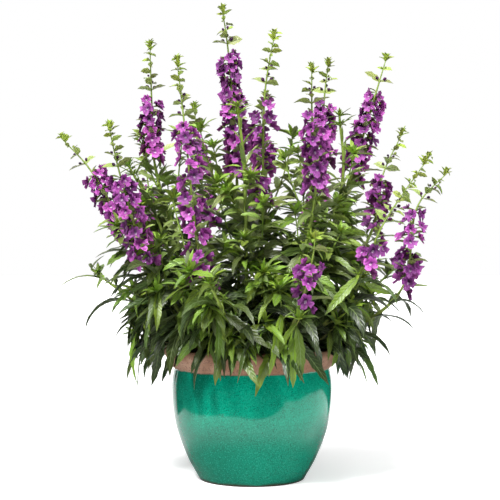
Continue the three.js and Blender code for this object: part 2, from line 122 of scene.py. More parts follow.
# Florets and bracts of the frame
FLORET_SPACING = 12.0
FLORET_END_MARGIN = 5.0
BRACT_SPACING = 14.5
BRACT_MARGINS = (9.0, 1.0)
GOLDEN_ANGLE = math.radians(137.5)

# Repeatable numbers
SEED = 20261
STEM_STRIDE = 7919
ITEM_STRIDE = 104729
DRAW_STRIDE = 1299709
MIX_FIRST = 2246822519
MIX_SECOND = 3266489917
WORD = 4294967296

# Each flowering stem: its place in the soil, then where its flowers begin, where they end, and its tip.
FLOWERING = (
    ((-72, -16), (-151, -35, 301), (-202, -20, 388), (-241, -10, 430)),
    ((-50, -48), (-123, -80, 270), (-157, -95, 377), (-170, -105, 436)),
    ((-48, 26), (-126, 40, 399), (-131, 50, 487), (-134, 60, 560)),
    ((-30, -68), (-56, -118, 242), (-80, -105, 436), (-90, -90, 517)),
    ((-16, 0), (-19, -10, 376), (-30, 5, 539), (-38, 10, 596)),
    ((8, -28), (13, -48, 343), (16, -50, 482), (28, -45, 555)),
    ((30, -45), (76, -78, 355), (72, -80, 454), (72, -75, 509)),
    ((36, 30), (92, 62, 400), (96, 78, 487), (102, 85, 539)),
    ((52, 4), (124, 0, 377), (159, 8, 492), (172, 15, 534)),
    ((64, 40), (159, 75, 314), (176, 98, 389), (206, 115, 450)),
    ((58, -50), (131, -105, 264), (153, -112, 316), (212, -95, 401)),
    ((76, -12), (183, -35, 236), (207, -25, 344), (246, -15, 386)),
    ((30, -76), (55, -145, 222), (69, -155, 279), (72, -160, 303)),
    ((-30, 56), (-60, 120, 320), (-76, 150, 440), (-80, 165, 490)),
    ((12, 60), (8, 130, 335), (14, 158, 452), (20, 172, 507)),
    ((42, 68), (84, 150, 290), (90, 180, 395), (96, 196, 448)),
    ((-62, 50), (-128, 112, 285), (-142, 142, 372), (-150, 162, 424)),
)

# Each leafy shoot without flowers: its place in the soil, a point on its way, and its tip.
LEAFY = (
    ((-6, -60), (-10, -68, 395), (-18, -70, 462)),
    ((56, -22), (113, -25, 376), (109, -25, 455)),
    ((-76, 14), (-117, 12, 318), (-158, 20, 396)),
    ((-74, -2), (-142, 8, 216), (-204, 2, 264)),
    ((-14, -72), (-32, -130, 212), (-48, -178, 250)),
    ((68, 20), (134, 42, 216), (186, 66, 262)),
    ((-8, 76), (-10, 142, 214), (-14, 196, 268)),
)

# Leafy side shoots whose ends the photograph shows: the stem's index, the height where each leaves it, its end.
SIDE_SHOOTS = (
    (1, 190, (-82, -130, 246)),
    (1, 215, (-112, -80, 298)),
    (2, 250, (-86, -20, 372)),
    (2, 270, (-108, 20, 372)),
    (2, 320, (-86, -40, 431)),
    (3, 190, (-50, -130, 253)),
    (3, 230, (-96, -70, 350)),
    (4, 280, (-44, -70, 368)),
    (4, 320, (-65, -20, 438)),
    (5, 200, (13, -120, 261)),
    (5, 250, (13, -90, 343)),
    (5, 320, (51, -20, 430)),
    (6, 220, (69, -100, 301)),
    (6, 230, (106, -90, 308)),
    (6, 240, (52, -60, 335)),
    (6, 270, (103, -70, 344)),
    (6, 320, (40, -60, 400)),
    (7, 300, (66, 30, 372)),
    (10, 200, (134, -60, 253)),
    (12, 185, (32, -130, 243)),
)

# Camera, from the photograph: metres and millimetres of lens
CAMERA_PLACE = (-0.0025, -1.6, 0.288)
CAMERA_LENS = 91.0
SENSOR_WIDTH = 36.0


class Kind(IntEnum):
    """What a repeated item is, so that each kind draws its own numbers."""

    LEAF = 0
    FILLER = 1000
    AXIL = 2000
    BRANCH = 3000
    BRANCH_LEAF = 4000
    FLORET = 6000
    BRACT = 7000
    BUD = 8000
    GRANULE = 9000


class Slot(Enum):
    """Material slots of the record."""

    CLAY = "glazed_clay"
    SOIL = "potting_soil"
    FOLIAGE = "foliage"
    PETALS = "petals"
    BUDS = "buds"


def chance(stem: np.ndarray, item: np.ndarray, draw: np.ndarray) -> np.ndarray:
    """Repeatable numbers from 0 to 1, one for each stem, item and draw.

    Args:
        stem: Index of the stem.
        item: Index of the item on the stem.
        draw: Index of the draw for that item.

    Returns:
        The three indices mixed into one word by shifts and products, as a share of the largest word.
    """
    total = (
        SEED
        + np.asarray(stem, np.int64) * STEM_STRIDE
        + np.asarray(item, np.int64) * ITEM_STRIDE
        + np.asarray(draw, np.int64) * DRAW_STRIDE
    )
    word = np.uint64(WORD)
    mixed = total.astype(np.uint64) % word
    mixed = ((mixed ^ (mixed >> np.uint64(15))) * np.uint64(MIX_FIRST)) % word
    mixed = ((mixed ^ (mixed >> np.uint64(13))) * np.uint64(MIX_SECOND)) % word
    return (mixed ^ (mixed >> np.uint64(16))).astype(float) / WORD


def spread(stem: np.ndarray, item: np.ndarray, draw: np.ndarray) -> np.ndarray:
    """The same numbers spread evenly from -1 to 1."""
    return 2 * chance(stem, item, draw) - 1


def between(pair: tuple[float, float], part: np.ndarray) -> np.ndarray:
    """The value at a part of the way from the first of a pair to the second."""
    return pair[0] + (pair[1] - pair[0]) * part


def unit(vectors: np.ndarray) -> np.ndarray:
    """Vectors scaled to length one."""
    return vectors / np.maximum(np.linalg.norm(vectors, axis=-1, keepdims=True), 1e-12)


def across(along: np.ndarray) -> tuple[np.ndarray, np.ndarray]:
    """The two directions across a stem that runs along the given direction."""
    first = unit(np.cross(np.array([0.0, 1.0, 0.0]), along))
    return first, np.cross(along, first)


def mound_height(points: np.ndarray) -> np.ndarray:
    """How high points lie in the mound of leaves, from 0 at the soil to 1 at its top."""
    return np.clip((points[..., 2] - SOIL_CROWN) / (MOUND_HEIGHT - SOIL_CROWN), 0, 1)


class Course:
    """A smooth line through given points, spaced by the square root of the distance between them."""

    def __init__(self, points: list) -> None:
        """Keep the points, with one more beyond each end.

        Args:
            points: The points that the line passes through, in mm.
        """
        inner = np.array(points, float)
        first = 2 * inner[0] - inner[1]
        last = 2 * inner[-1] - inner[-2]
        self.points = np.vstack([first, inner, last])
        self.spans = len(inner) - 1

    def at(self, place: np.ndarray) -> np.ndarray:
        """Points on the line.

        Args:
            place: Places from 0 at the start to 1 at the end.

        Returns:
            One point a place, by the cubic that meets both neighbours' slopes in each span.
        """
        scaled = np.clip(np.atleast_1d(place), 0, 1) * self.spans
        span = np.minimum(scaled.astype(int), self.spans - 1)
        part = (scaled - span)[:, None]
        before, start, end, after = (self.points[span + k] for k in range(4))
        gap_before = np.linalg.norm(start - before, axis=1, keepdims=True) ** 0.5
        gap = np.linalg.norm(end - start, axis=1, keepdims=True) ** 0.5
        gap_after = np.linalg.norm(after - end, axis=1, keepdims=True) ** 0.5
        chord = (end - start) / gap
        leave = ((start - before) / gap_before - (end - before) / (gap_before + gap) + chord) * gap
        arrive = (chord - (after - start) / (gap + gap_after) + (after - end) / gap_after) * gap
        square = -3 * start + 3 * end - 2 * leave - arrive
        cube = 2 * start - 2 * end + leave + arrive
        return start + leave * part + square * part**2 + cube * part**3

    def along(self, place: np.ndarray) -> np.ndarray:
        """Directions of the line at places on it."""
        step = 0.0001
        place = np.atleast_1d(place)
        return unit(self.at(np.minimum(place + step, 1)) - self.at(np.maximum(place - step, 0)))

    def chord(self, start: float, end: float) -> float:
        """The straight distance between two places."""
        return float(np.linalg.norm(self.at(end) - self.at(start)))

    def section_point(self, start: float, end: float, part: np.ndarray) -> np.ndarray:
        """Points on the frame's stem, which runs straight from section to section.

        Args:
            start: Place where the stretch starts.
            end: Place where it ends.
            part: Parts of the stretch, from 0 to 1.

        Returns:
            One point for each part.
        """
        steps = max(2, round(self.chord(start, end) / STEM_STEP))
        step = np.minimum(steps - 1, np.floor(part * steps))
        near = self.at(between((start, end), step / steps))
        far = self.at(between((start, end), (step + 1) / steps))
        return near + (far - near) * (part * steps - step)[:, None]


@dataclass(frozen=True)
class Plant:
    """One stem of the plant, by its number in the frame's lists."""

    index: int
    root: tuple[int, int]
    marks: tuple

    @property
    def flowers(self) -> bool:
        """Whether the stem ends in a flower spike."""
        return self.index < len(FLOWERING)

    @property
    def number(self) -> str:
        """Its number in its own list, as two digits."""
        return f"{self.index + 1 if self.flowers else self.index + 1 - len(FLOWERING):02d}"

    @property
    def node(self) -> str:
        """The frame's node of its green part."""
        return f"{'stem' if self.flowers else 'shoot'}_{self.number}"

    @property
    def course(self) -> Course:
        """Its line above the collar."""
        return Course([(*self.root, COLLAR_HEIGHT), *self.marks])

    @property
    def green_end(self) -> float:
        """The place on its line where the green part ends."""
        return FLOWERS_FROM if self.flowers else 1.0


@dataclass
class Blades:
    """Many leaves at once. Each field has one value, or one point, for each leaf."""

    base: np.ndarray
    heading: np.ndarray
    rise: np.ndarray
    bend: np.ndarray
    length: np.ndarray
    half_width: np.ndarray
    roll: np.ndarray
    sway: np.ndarray
    twist: np.ndarray
    fold: np.ndarray
    age: np.ndarray
    tint: np.ndarray

    def __len__(self) -> int:
        """The number of leaves."""
        return len(self.heading)

    def pick(self, mask: np.ndarray) -> "Blades":
        """The leaves that a mask or a list of indices picks."""
        return Blades(*(getattr(self, each.name)[mask] for each in fields(self)))

    @staticmethod
    def join(parts: list) -> "Blades":
        """Several sets as one."""
        names = [each.name for each in fields(Blades)]
        return Blades(*(np.concatenate([getattr(part, name) for part in parts]) for name in names))

    def midrib(self, part: np.ndarray) -> tuple:
        """The midribs at parts of their length. A midrib is an arc whose slope changes evenly.

        Args:
            part: Parts of the length, shared by all leaves.

        Returns:
            The points, and the directions level with the midrib and above it, leaf by part.
        """
        slope = self.rise[:, None] - self.bend[:, None] * part
        scale = (self.length / -self.bend)[:, None]
        out = scale * (np.sin(slope) - np.sin(self.rise)[:, None])
        up = scale * (np.cos(self.rise)[:, None] - np.cos(slope))
        ahead = np.stack([np.cos(self.heading), np.sin(self.heading), 0 * self.heading], -1)[:, None]
        level = np.stack([-np.sin(self.heading), np.cos(self.heading), 0 * self.heading], -1)[:, None]
        aside = (self.sway * self.length)[:, None] * part**2
        points = self.base[:, None] + ahead * out[..., None] + UP * up[..., None] + level * aside[..., None]
        above = UP * np.cos(slope)[..., None] - ahead * np.sin(slope)[..., None]
        return points, np.broadcast_to(level, above.shape), above

    def ends(self) -> tuple[np.ndarray, np.ndarray]:
        """The midribs' far ends, and the directions in which they end."""
        slope = self.rise - self.bend
        way = [np.cos(self.heading) * np.cos(slope), np.sin(self.heading) * np.cos(slope), np.sin(slope)]
        return self.midrib(np.array([1.0]))[0][:, 0], np.stack(way, 1)


@dataclass(frozen=True)
class Shape:
    """The faces of a shape that is placed many times with other points."""

    corners: np.ndarray
    sizes: np.ndarray
    cell: np.ndarray
    blade: np.ndarray
    slots: np.ndarray
    under: np.ndarray
    sharp: np.ndarray

    @staticmethod
    def of(faces: list, sharp: np.ndarray) -> "Shape":
        """A shape from a list of faces.

        Args:
            faces: Rows of vertices, places in the atlas cell, places on the blade, material and underside.
            sharp: Whether each vertex lies on a sharp edge.

        Returns:
            The same faces as arrays, corner by corner.
        """
        return Shape(
            corners=np.concatenate([np.array(face[0]) for face in faces]),
            sizes=np.array([len(face[0]) for face in faces]),
            cell=np.concatenate([np.array(face[1], float) for face in faces]),
            blade=np.concatenate([np.array(face[2], float) for face in faces]),
            slots=np.array([face[3] for face in faces]),
            under=np.array([face[4] for face in faces], float),
            sharp=sharp,
        )


class BladeShape:
    """A leaf's surface: an upper side with a row of columns, a lower side with a keel, and a toothed edge."""

    PETIOLE_HALF_WIDTH = 0.8
    TIP_HALF_WIDTH = 0.15
    BLUNT = 0.8
    TOOTH = 0.17
    TOOTH_LEAN = 0.016
    DEPTH = 0.5
    CROWN = 0.1
    RIPPLE = 0.12

    def __init__(self, stations: int, columns: int, slot: int) -> None:
        """Lay out the vertices and the faces.

        Args:
            stations: Steps along the leaf.
            columns: Steps across its upper side, an even number.
            slot: Material index of the leaf.
        """
        upper = np.arange((stations + 1) * (columns + 1)).reshape(stations + 1, columns + 1)
        keel = upper.size + np.arange(stations + 1)
        middle = columns // 2
        step = np.concatenate([np.repeat(np.arange(stations + 1), columns + 1), np.arange(stations + 1)])
        self.part = step / stations
        spread_across = np.tile(np.linspace(-1, 1, columns + 1), stations + 1)
        self.column = np.concatenate([spread_across, np.zeros(stations + 1)])
        self.below = np.concatenate([np.zeros(upper.size), np.ones(stations + 1)])
        inner = (step > 1) & (step < stations) & (np.abs(self.column) == 1)
        self.tooth = np.where(inner, np.where(step % 2 == 0, 1.0, -0.5), 0.0)
        faces = []
        for i in range(stations):
            for j in range(columns):
                ring = [upper[i, j], upper[i + 1, j], upper[i + 1, j + 1], upper[i, j + 1]]
                faces.append(self._face(ring, 0.0, slot))
            for j in (0, columns):
                ring = [upper[i, j], keel[i], keel[i + 1], upper[i + 1, j]]
                faces.append(self._face(ring if j == 0 else ring[::-1], 1.0, slot))
        for i in (0, stations):
            for half in (upper[i, : middle + 1], upper[i, middle:]):
                ring = [*half, keel[i]]
                faces.append(self._end(ring if i == 0 else ring[::-1], slot))
        sharp = (np.abs(self.column) == 1) | (((step == 0) | (step == stations)) & (self.below == 0))
        self.shape = Shape.of(faces, sharp)

    def _face(self, ring: list, under: float, slot: int) -> tuple:
        """One face with its places in the atlas cell, the upper side on the left and the lower on the right."""
        ring = [int(k) for k in ring]
        across_leaf = (self.column[ring] + 1) / 2
        along_leaf = self.part[ring]
        cell = np.stack([0.03 + 0.44 * across_leaf + 0.5 * under, 0.03 + 0.94 * along_leaf], 1)
        return ring, cell, np.stack([across_leaf, along_leaf], 1), slot, under

    def _end(self, ring: list, slot: int) -> tuple:
        """Half of the face that closes an end, with its place between the two sides in the atlas cell."""
        ring = [int(k) for k in ring]
        across_leaf = (self.column[ring] + 1) / 2
        arch = 0.02 * np.sin(np.pi * across_leaf) - 0.05 * self.below[ring]
        cell = np.stack([0.48 + 0.04 * across_leaf, 0.1 + 0.8 * self.part[ring] + arch], 1)
        return ring, cell, np.stack([across_leaf, self.part[ring]], 1), slot, 1.0

    def place(self, blades: Blades) -> np.ndarray:
        """The vertices of many leaves.

        Args:
            blades: The leaves.

        Returns:
            Points, leaf by vertex. A leaf is a blunted half sine wave wide, folds up from its midrib, bulges a
            little between midrib and edge, and ripples along its edge.
        """
        part = self.part + self.TOOTH_LEAN * np.maximum(self.tooth, 0)
        points, level, above = blades.midrib(part)
        roll = (blades.roll[:, None] + blades.twist[:, None] * part)[..., None]
        side = level * np.cos(roll) + above * np.sin(roll)
        face = above * np.cos(roll) - level * np.sin(roll)
        lance = blades.half_width[:, None] * np.sin(np.pi * np.clip(part, 0, 1) ** WIDEST_AT) ** self.BLUNT
        half = np.maximum(lance, self.PETIOLE_HALF_WIDTH * (1 - part) + self.TIP_HALF_WIDTH)
        reach = half * self.column * (1 + self.TOOTH * self.tooth)
        distance = np.abs(self.column)
        lift = half * (blades.fold[:, None] * distance + self.CROWN * 4 * distance * (1 - distance))
        phase = 2 * np.pi * (1.6 * part + blades.tint[:, None]) + 1.4 * np.sign(self.column)
        lift = lift + self.RIPPLE * half * np.sin(phase) * distance**2
        drop = self.below * self.DEPTH * np.minimum(1, 0.25 + 4 * np.minimum(part, 1 - part))
        return points + side * reach[..., None] + face * (lift - drop)[..., None]


class TubeShape:
    """A round stem: rings of points from end to end, closed at both."""

    def __init__(self, rings: int, sides: int, slot: int) -> None:
        """Lay out the faces.

        Args:
            rings: Rings along the stem.
            sides: Points in a ring.
            slot: Material index of the stem.
        """
        self.rings = rings
        self.sides = sides
        faces = []
        for i in range(rings - 1):
            for k in range(sides):
                after = (k + 1) % sides
                ring = [i * sides + k, i * sides + after, (i + 1) * sides + after, (i + 1) * sides + k]
                spots = [(k, i), (k + 1, i), (k + 1, i + 1), (k, i + 1)]
                cell = [(0.03 + 0.94 * a / sides, 0.15 + 0.82 * b / (rings - 1)) for a, b in spots]
                faces.append((ring, cell, [(a / sides, b / (rings - 1)) for a, b in spots], slot, 0.0))
        turn = 2 * np.pi * np.arange(sides) / sides
        cap = np.stack([np.cos(turn), np.sin(turn)], 1) * 0.05
        start = list(range(sides))[::-1]
        faces.append((start, (cap + (0.2, 0.07))[start], cap[start] * 0, slot, 0.0))
        last = (rings - 1) * sides
        faces.append(([last + k for k in range(sides)], cap + (0.5, 0.07), cap * 0 + (0, 1), slot, 0.0))
        sharp = np.zeros(rings * sides, bool)
        sharp[:sides] = True
        sharp[last:] = True
        self.shape = Shape.of(faces, sharp)

    def place(self, centres: np.ndarray, radii: np.ndarray) -> np.ndarray:
        """The vertices of many stems.

        Args:
            centres: Points on the stems' lines, stem by ring.
            radii: Radius at each of them.

        Returns:
            Points, stem by vertex: circles square to the line.
        """
        along = unit(np.gradient(centres, axis=1))
        first, second = across(along)
        turn = 2 * np.pi * np.arange(self.sides) / self.sides
        ring = first[:, :, None] * np.cos(turn)[:, None] + second[:, :, None] * np.sin(turn)[:, None]
        points = centres[:, :, None] + ring * radii[..., None, None]
        return points.reshape(len(centres), -1, 3)


class FloretShape:
    """A flower: five lobes round a throat, two small ones above and three below, on a green stalk."""

    LOBES = 5
    LOBE_SIZES = (1.15, 1.0, 0.74, 0.74, 1.0)
    LIP_FORWARD = (2.6, 1.7, -1.2, -1.2, 1.7)
    ROUND = ((-0.5, 0.64), (-0.32, 0.95), (0.0, 1.0), (0.32, 0.95))
    MIDDLE = 0.42
    THROAT_DEPTH = 3.2
    BACK_DEPTH = 4.4
    STALK_SIDES = 5
    STALK_RADIUS = 1.7

    def __init__(self, petal_slot: int, stalk_slot: int) -> None:
        """Lay out the vertices and the faces.

        Args:
            petal_slot: Material index of the petals.
            stalk_slot: Material index of the stalk.
        """
        steps = [
            (2 * np.pi * (lobe + shift) / self.LOBES - np.pi / 2, size * radius, shift == 0, lobe)
            for lobe, size in enumerate(self.LOBE_SIZES)
            for shift, radius in self.ROUND
        ]
        self.angle = np.array([step[0] for step in steps])
        self.radius = np.array([step[1] for step in steps])
        self.lip = np.array([self.LIP_FORWARD[step[3]] for step in steps])
        count = len(steps)
        middle = [1 + k for k in range(count)]
        rim = [1 + count + k for k in range(count)]
        back = 1 + 2 * count
        stalk = [back + 1 + k for k in range(self.STALK_SIDES)]
        root = back + 1 + self.STALK_SIDES
        self.count = count
        self.size = root + 1
        flat = np.zeros((self.size, 2))
        circle = np.stack([np.cos(self.angle), np.sin(self.angle)], 1)
        flat[middle] = circle * self.MIDDLE
        flat[rim] = circle * self.radius[:, None]
        self.reach = np.zeros(self.size)
        self.reach[middle] = self.MIDDLE
        self.reach[rim] = self.radius
        faces = []
        for k in range(count):
            after = (k + 1) % count
            faces.append(self._petal([0, middle[k], middle[after]], flat, petal_slot, 0.0))
            faces.append(self._petal([middle[k], rim[k], rim[after], middle[after]], flat, petal_slot, 0.0))
        for k in range(0, count, 2):
            ring = [back, rim[(k + 2) % count], rim[k + 1], rim[k]]
            faces.append(self._petal(ring, flat, petal_slot, 1.0))
        turn = 2 * np.pi * np.arange(self.STALK_SIDES) / self.STALK_SIDES
        star = np.stack([np.cos(turn), np.sin(turn)], 1) * 0.05
        for k in range(self.STALK_SIDES):
            after = (k + 1) % self.STALK_SIDES
            cell = [(0.64, 0.06), star[after] + (0.64, 0.06), star[k] + (0.64, 0.06)]
            faces.append(([root, stalk[after], stalk[k]], cell, [(0, 0), (1, 1), (0, 1)], stalk_slot, 0.0))
        faces.append((stalk, star + (0.86, 0.06), star * 0, stalk_slot, 0.0))
        sharp = np.zeros(self.size, bool)
        sharp[rim] = True
        sharp[stalk] = True
        self.shape = Shape.of(faces, sharp)

    @staticmethod
    def _petal(ring: list, flat: np.ndarray, slot: int, under: float) -> tuple:
        """One face of the petals, with the front on the left of the atlas cell and the back on the right."""
        spots = flat[ring]
        cell = spots * (0.2, 0.4 if under else 0.42) + (0.25 + 0.5 * under, 0.56 if under else 0.5)
        return ring, cell, 0.5 + spots * 0.44, slot, under

    def place(self, bed: "FlowerBed") -> np.ndarray:
        """The vertices of many flowers.

        Args:
            bed: The flowers.

        Returns:
            Points, flower by vertex. The upper lobes roll back and the lowest one juts out. Two waves round the
            edge crumple it, each flower in its own way, and the notches sink towards the throat.
        """
        count = self.count
        size = bed.size[:, None]
        phase = 40 * bed.tint[:, None]
        wave = np.sin(2 * self.angle + phase) + 0.7 * np.sin(5 * self.angle + 1.7 * phase)
        edge = -0.5 + 1.6 * np.minimum(1, (self.radius - 0.6) / 0.4) + 1.4 * wave
        edge = edge + self.lip - 1.6 * np.isclose(np.mod(np.arange(count), 4), 2)
        forward = np.zeros((len(bed.size), self.size))
        forward[:, 0] = -self.THROAT_DEPTH
        forward[:, 1 : 1 + count] = 0.5 * wave + 0.35 * self.lip - 0.2
        forward[:, 1 + count : 1 + 2 * count] = edge * size / 10
        forward[:, 1 + 2 * count] = -self.BACK_DEPTH
        flat = np.zeros((len(bed.size), self.size, 2))
        circle = np.stack([np.cos(self.angle), np.sin(self.angle)], 1)
        flat[:, 1 : 1 + count] = circle * self.MIDDLE * size[..., None]
        rim = self.radius * size * (1 + 0.1 * np.sin(7 * self.angle + 2.3 * phase))
        flat[:, 1 + count : 1 + 2 * count] = circle * rim[..., None]
        flat[..., 0] *= 0.84 + 0.26 * np.mod(size, 1)
        turn = 2 * np.pi * np.arange(self.STALK_SIDES) / self.STALK_SIDES
        star = np.stack([np.cos(turn), np.sin(turn)], 1) * self.STALK_RADIUS
        first = 2 + 2 * count
        flat[:, first : first + self.STALK_SIDES] = star
        forward[:, first : first + self.STALK_SIDES] = 0.9 - self.BACK_DEPTH
        side = np.cross(bed.up, bed.out)
        points = (
            bed.centre[:, None]
            + side[:, None] * flat[..., :1]
            + bed.up[:, None] * flat[..., 1:]
            + bed.out[:, None] * forward[..., None]
        )
        points[:, -1] = bed.root
        return points


@dataclass
class FlowerBed:
    """Many flowers at once: where each is rooted, where it opens, how it faces and how large it is."""

    root: np.ndarray
    centre: np.ndarray
    out: np.ndarray
    up: np.ndarray
    size: np.ndarray
    tint: np.ndarray


class KnobShape:
    """A small egg, for buds and for granules in the soil."""

    SIDES = 6
    RINGS = ((-0.6, 0.62), (0.1, 1.0), (0.72, 0.55))

    def __init__(self, slot: int, under: float = 0.0) -> None:
        """Lay out the vertices and the faces.

        Args:
            slot: Material index of the egg.
            under: Whether its material shows its underside, as 0 or 1.
        """
        sides = self.SIDES
        turn = 2 * np.pi * np.arange(sides) / sides
        rows = [np.stack([r * np.cos(turn), r * np.sin(turn), 0 * turn + z], 1) for z, r in self.RINGS]
        self.points = np.vstack([*rows, [(0, 0, -1)], [(0, 0, 1)]])
        bottom = len(rows) * sides
        faces = []
        for k in range(sides):
            after = (k + 1) % sides
            low, high = k / sides, (k + 1) / sides
            faces.append(([bottom, after, k], [((low + high) / 2, 0.02), (high, 0.2), (low, 0.2)]))
            for i in range(len(rows) - 1):
                ring = [i * sides + k, i * sides + after, (i + 1) * sides + after, (i + 1) * sides + k]
                y, top = 0.2 + 0.3 * i, 0.5 + 0.3 * i
                faces.append((ring, [(low, y), (high, y), (high, top), (low, top)]))
            last = (len(rows) - 1) * sides
            cap = [((low + high) / 2, 0.98), (low, 0.8), (high, 0.8)]
            faces.append(([bottom + 1, last + k, last + after], cap))
        rows = [(ring, np.array(cell) * 0.94 + 0.03, cell, slot, under) for ring, cell in faces]
        self.shape = Shape.of(rows, np.zeros(len(self.points), bool))

    def place(self, centre: np.ndarray, along: np.ndarray, width: np.ndarray, length: np.ndarray) -> np.ndarray:
        """The vertices of many eggs.

        Args:
            centre: Their middles.
            along: The direction of each one's long axis.
            width: Half the width of each.
            length: Half the length of each.

        Returns:
            Points, egg by vertex.
        """
        first, second = across(along)
        flat = self.points
        return (
            centre[:, None]
            + first[:, None] * flat[:, :1] * width[:, None, None]
            + second[:, None] * flat[:, 1:2] * width[:, None, None]
            + along[:, None] * flat[:, 2:] * length[:, None, None]
        )


class PieceMesh:
    """Gathers batches of placed shapes, and writes them as one closed mesh with its atlas."""

    ATLAS_MARGIN = 0.04
    VALUES = ("tint", "age", "reach")

    def __init__(self) -> None:
        """Start with no batches."""
        self.batches = []

    def add(self, shape: Shape, points: np.ndarray, **values: np.ndarray) -> None:
        """Add a batch.

        Args:
            shape: The faces of one item.
            points: Points in mm, item by vertex.
            values: Attribute values that broadcast to item by vertex.
        """
        if len(points):
            kept = {name: np.broadcast_to(values.get(name, 0.0), points.shape[:2]) for name in self.VALUES}
            self.batches.append((shape, points, kept))

    def build(self, name: str, materials: list) -> bpy.types.Object:
        """Write the mesh.

        Args:
            name: Name of the piece.
            materials: Its materials, in the order of the shapes' material indices.

        Returns:
            The piece, linked to the scene, with its attributes and its atlas.
        """
        points = np.concatenate([batch[1].reshape(-1, 3) for batch in self.batches]) * MM
        corners, sizes, cells, blades, slots, unders, sharp = [], [], [], [], [], [], []
        total = sum(len(batch[1]) for batch in self.batches)
        grid = math.ceil(math.sqrt(total))
        item = 0
        offset = 0
        for shape, placed, _ in self.batches:
            count = len(placed)
            starts = offset + np.arange(count) * placed.shape[1]
            corners.append((shape.corners + starts[:, None]).ravel())
            order = item + np.arange(count)
            origin = np.stack([order % grid, order // grid], 1)[:, None]
            inner = self.ATLAS_MARGIN + (1 - 2 * self.ATLAS_MARGIN) * shape.cell
            cells.append(((origin + inner) / grid).reshape(-1, 2))
            blades.append(np.tile(shape.blade, (count, 1)))
            sizes.append(np.tile(shape.sizes, count))
            slots.append(np.tile(shape.slots, count))
            unders.append(np.tile(shape.under, count))
            sharp.append(np.tile(shape.sharp, count))
            item += count
            offset += count * placed.shape[1]
        mesh = bpy.data.meshes.new(name)
        sizes = np.concatenate(sizes)
        mesh.vertices.add(len(points))
        mesh.vertices.foreach_set("co", points.ravel())
        mesh.loops.add(int(sizes.sum()))
        mesh.loops.foreach_set("vertex_index", np.concatenate(corners).astype(np.int32))
        mesh.polygons.add(len(sizes))
        mesh.polygons.foreach_set("loop_start", np.concatenate([[0], np.cumsum(sizes)[:-1]]).astype(np.int32))
        mesh.polygons.foreach_set("loop_total", sizes.astype(np.int32))
        mesh.polygons.foreach_set("material_index", np.concatenate(slots).astype(np.int32))
        mesh.update(calc_edges=True)
        mesh.polygons.foreach_set("use_smooth", np.ones(len(sizes), bool))
        mesh.uv_layers.new(name="OFBake").data.foreach_set("uv", np.concatenate(cells).ravel())
        mesh.uv_layers.new(name="blade").data.foreach_set("uv", np.concatenate(blades).ravel())
        for value in self.VALUES:
            written = np.concatenate([batch[2][value].ravel() for batch in self.batches])
            mesh.attributes.new(value, "FLOAT", "POINT").data.foreach_set("value", written)
        mesh.attributes.new("under", "FLOAT", "FACE").data.foreach_set("value", np.concatenate(unders))
        edges = np.empty(2 * len(mesh.edges), np.int32)
        mesh.edges.foreach_get("vertices", edges)
        hard = np.concatenate(sharp)[edges.reshape(-1, 2)].all(axis=1)
        mesh.attributes.new("sharp_edge", "BOOLEAN", "EDGE").data.foreach_set("value", hard)
        for material in materials:
            mesh.materials.append(material)
        mesh.validate(verbose=False)
        piece = bpy.data.objects.new(name, mesh)
        bpy.context.scene.collection.objects.link(piece)
        return piece


class Graph:
    """Short calls for adding nodes to a tree and linking them."""

    def __init__(self, tree: bpy.types.NodeTree) -> None:
        """Keep the tree."""
        self.tree = tree

    def node(self, kind: str, **settings) -> bpy.types.Node:
        """Add a node and set its options."""
        made = self.tree.nodes.new(kind)
        for name, value in settings.items():
            setattr(made, name, value)
        return made

    def feed(self, socket: bpy.types.NodeSocket, source) -> None:
        """Link a socket into an input, or set the input to a value."""
        if isinstance(source, bpy.types.NodeSocket):
            self.tree.links.new(source, socket)
        else:
            socket.default_value = source

    def math(self, operation: str, *sources, clamp: bool = False) -> bpy.types.NodeSocket:
        """A math node's result."""
        made = self.node("ShaderNodeMath", operation=operation, use_clamp=clamp)
        for socket, source in zip(made.inputs, sources):
            self.feed(socket, source)
        return made.outputs[0]

    def mix(self, factor, first, second) -> bpy.types.NodeSocket:
        """A mix of two colours."""
        made = self.node("ShaderNodeMix", data_type="RGBA")
        self.feed(made.inputs[0], factor)
        self.feed(made.inputs[6], first)
        self.feed(made.inputs[7], second)
        return made.outputs[2]

    def smooth(self, value, low: float, high: float, start=0.0, end=1.0) -> bpy.types.NodeSocket:
        """A value carried smoothly from one range to another, and held at its ends."""
        made = self.node("ShaderNodeMapRange", interpolation_type="SMOOTHSTEP")
        self.feed(made.inputs["Value"], value)
        self.feed(made.inputs["From Min"], low)
        self.feed(made.inputs["From Max"], high)
        self.feed(made.inputs["To Min"], start)
        self.feed(made.inputs["To Max"], end)
        return made.outputs["Result"]

    def attribute(self, name: str) -> bpy.types.NodeSocket:
        """A mesh attribute's value."""
        return self.node("ShaderNodeAttribute", attribute_name=name).outputs["Fac"]

    def place(self) -> bpy.types.NodeSocket:
        """The point on the object, in metres."""
        return self.node("ShaderNodeTexCoord").outputs["Object"]

    def stretched(self, factors: tuple) -> bpy.types.NodeSocket:
        """The point on the object with each of its coordinates multiplied."""
        made = self.node("ShaderNodeVectorMath", operation="MULTIPLY")
        self.feed(made.inputs[0], self.place())
        made.inputs[1].default_value = factors
        return made.outputs[0]

    def noise(self, scale: float, detail: float = 3.0, vector=None) -> bpy.types.NodeSocket:
        """Cloudy noise over the object, from 0 to 1."""
        made = self.node("ShaderNodeTexNoise")
        self.feed(made.inputs["Vector"], vector or self.place())
        made.inputs["Scale"].default_value = scale
        made.inputs["Detail"].default_value = detail
        return made.outputs["Fac"]

    def group(self, tree: bpy.types.NodeTree, **sources) -> bpy.types.Node:
        """A node group with its inputs fed."""
        made = self.node("ShaderNodeGroup")
        made.node_tree = tree
        for name, source in sources.items():
            self.feed(made.inputs[name], source)
        return made


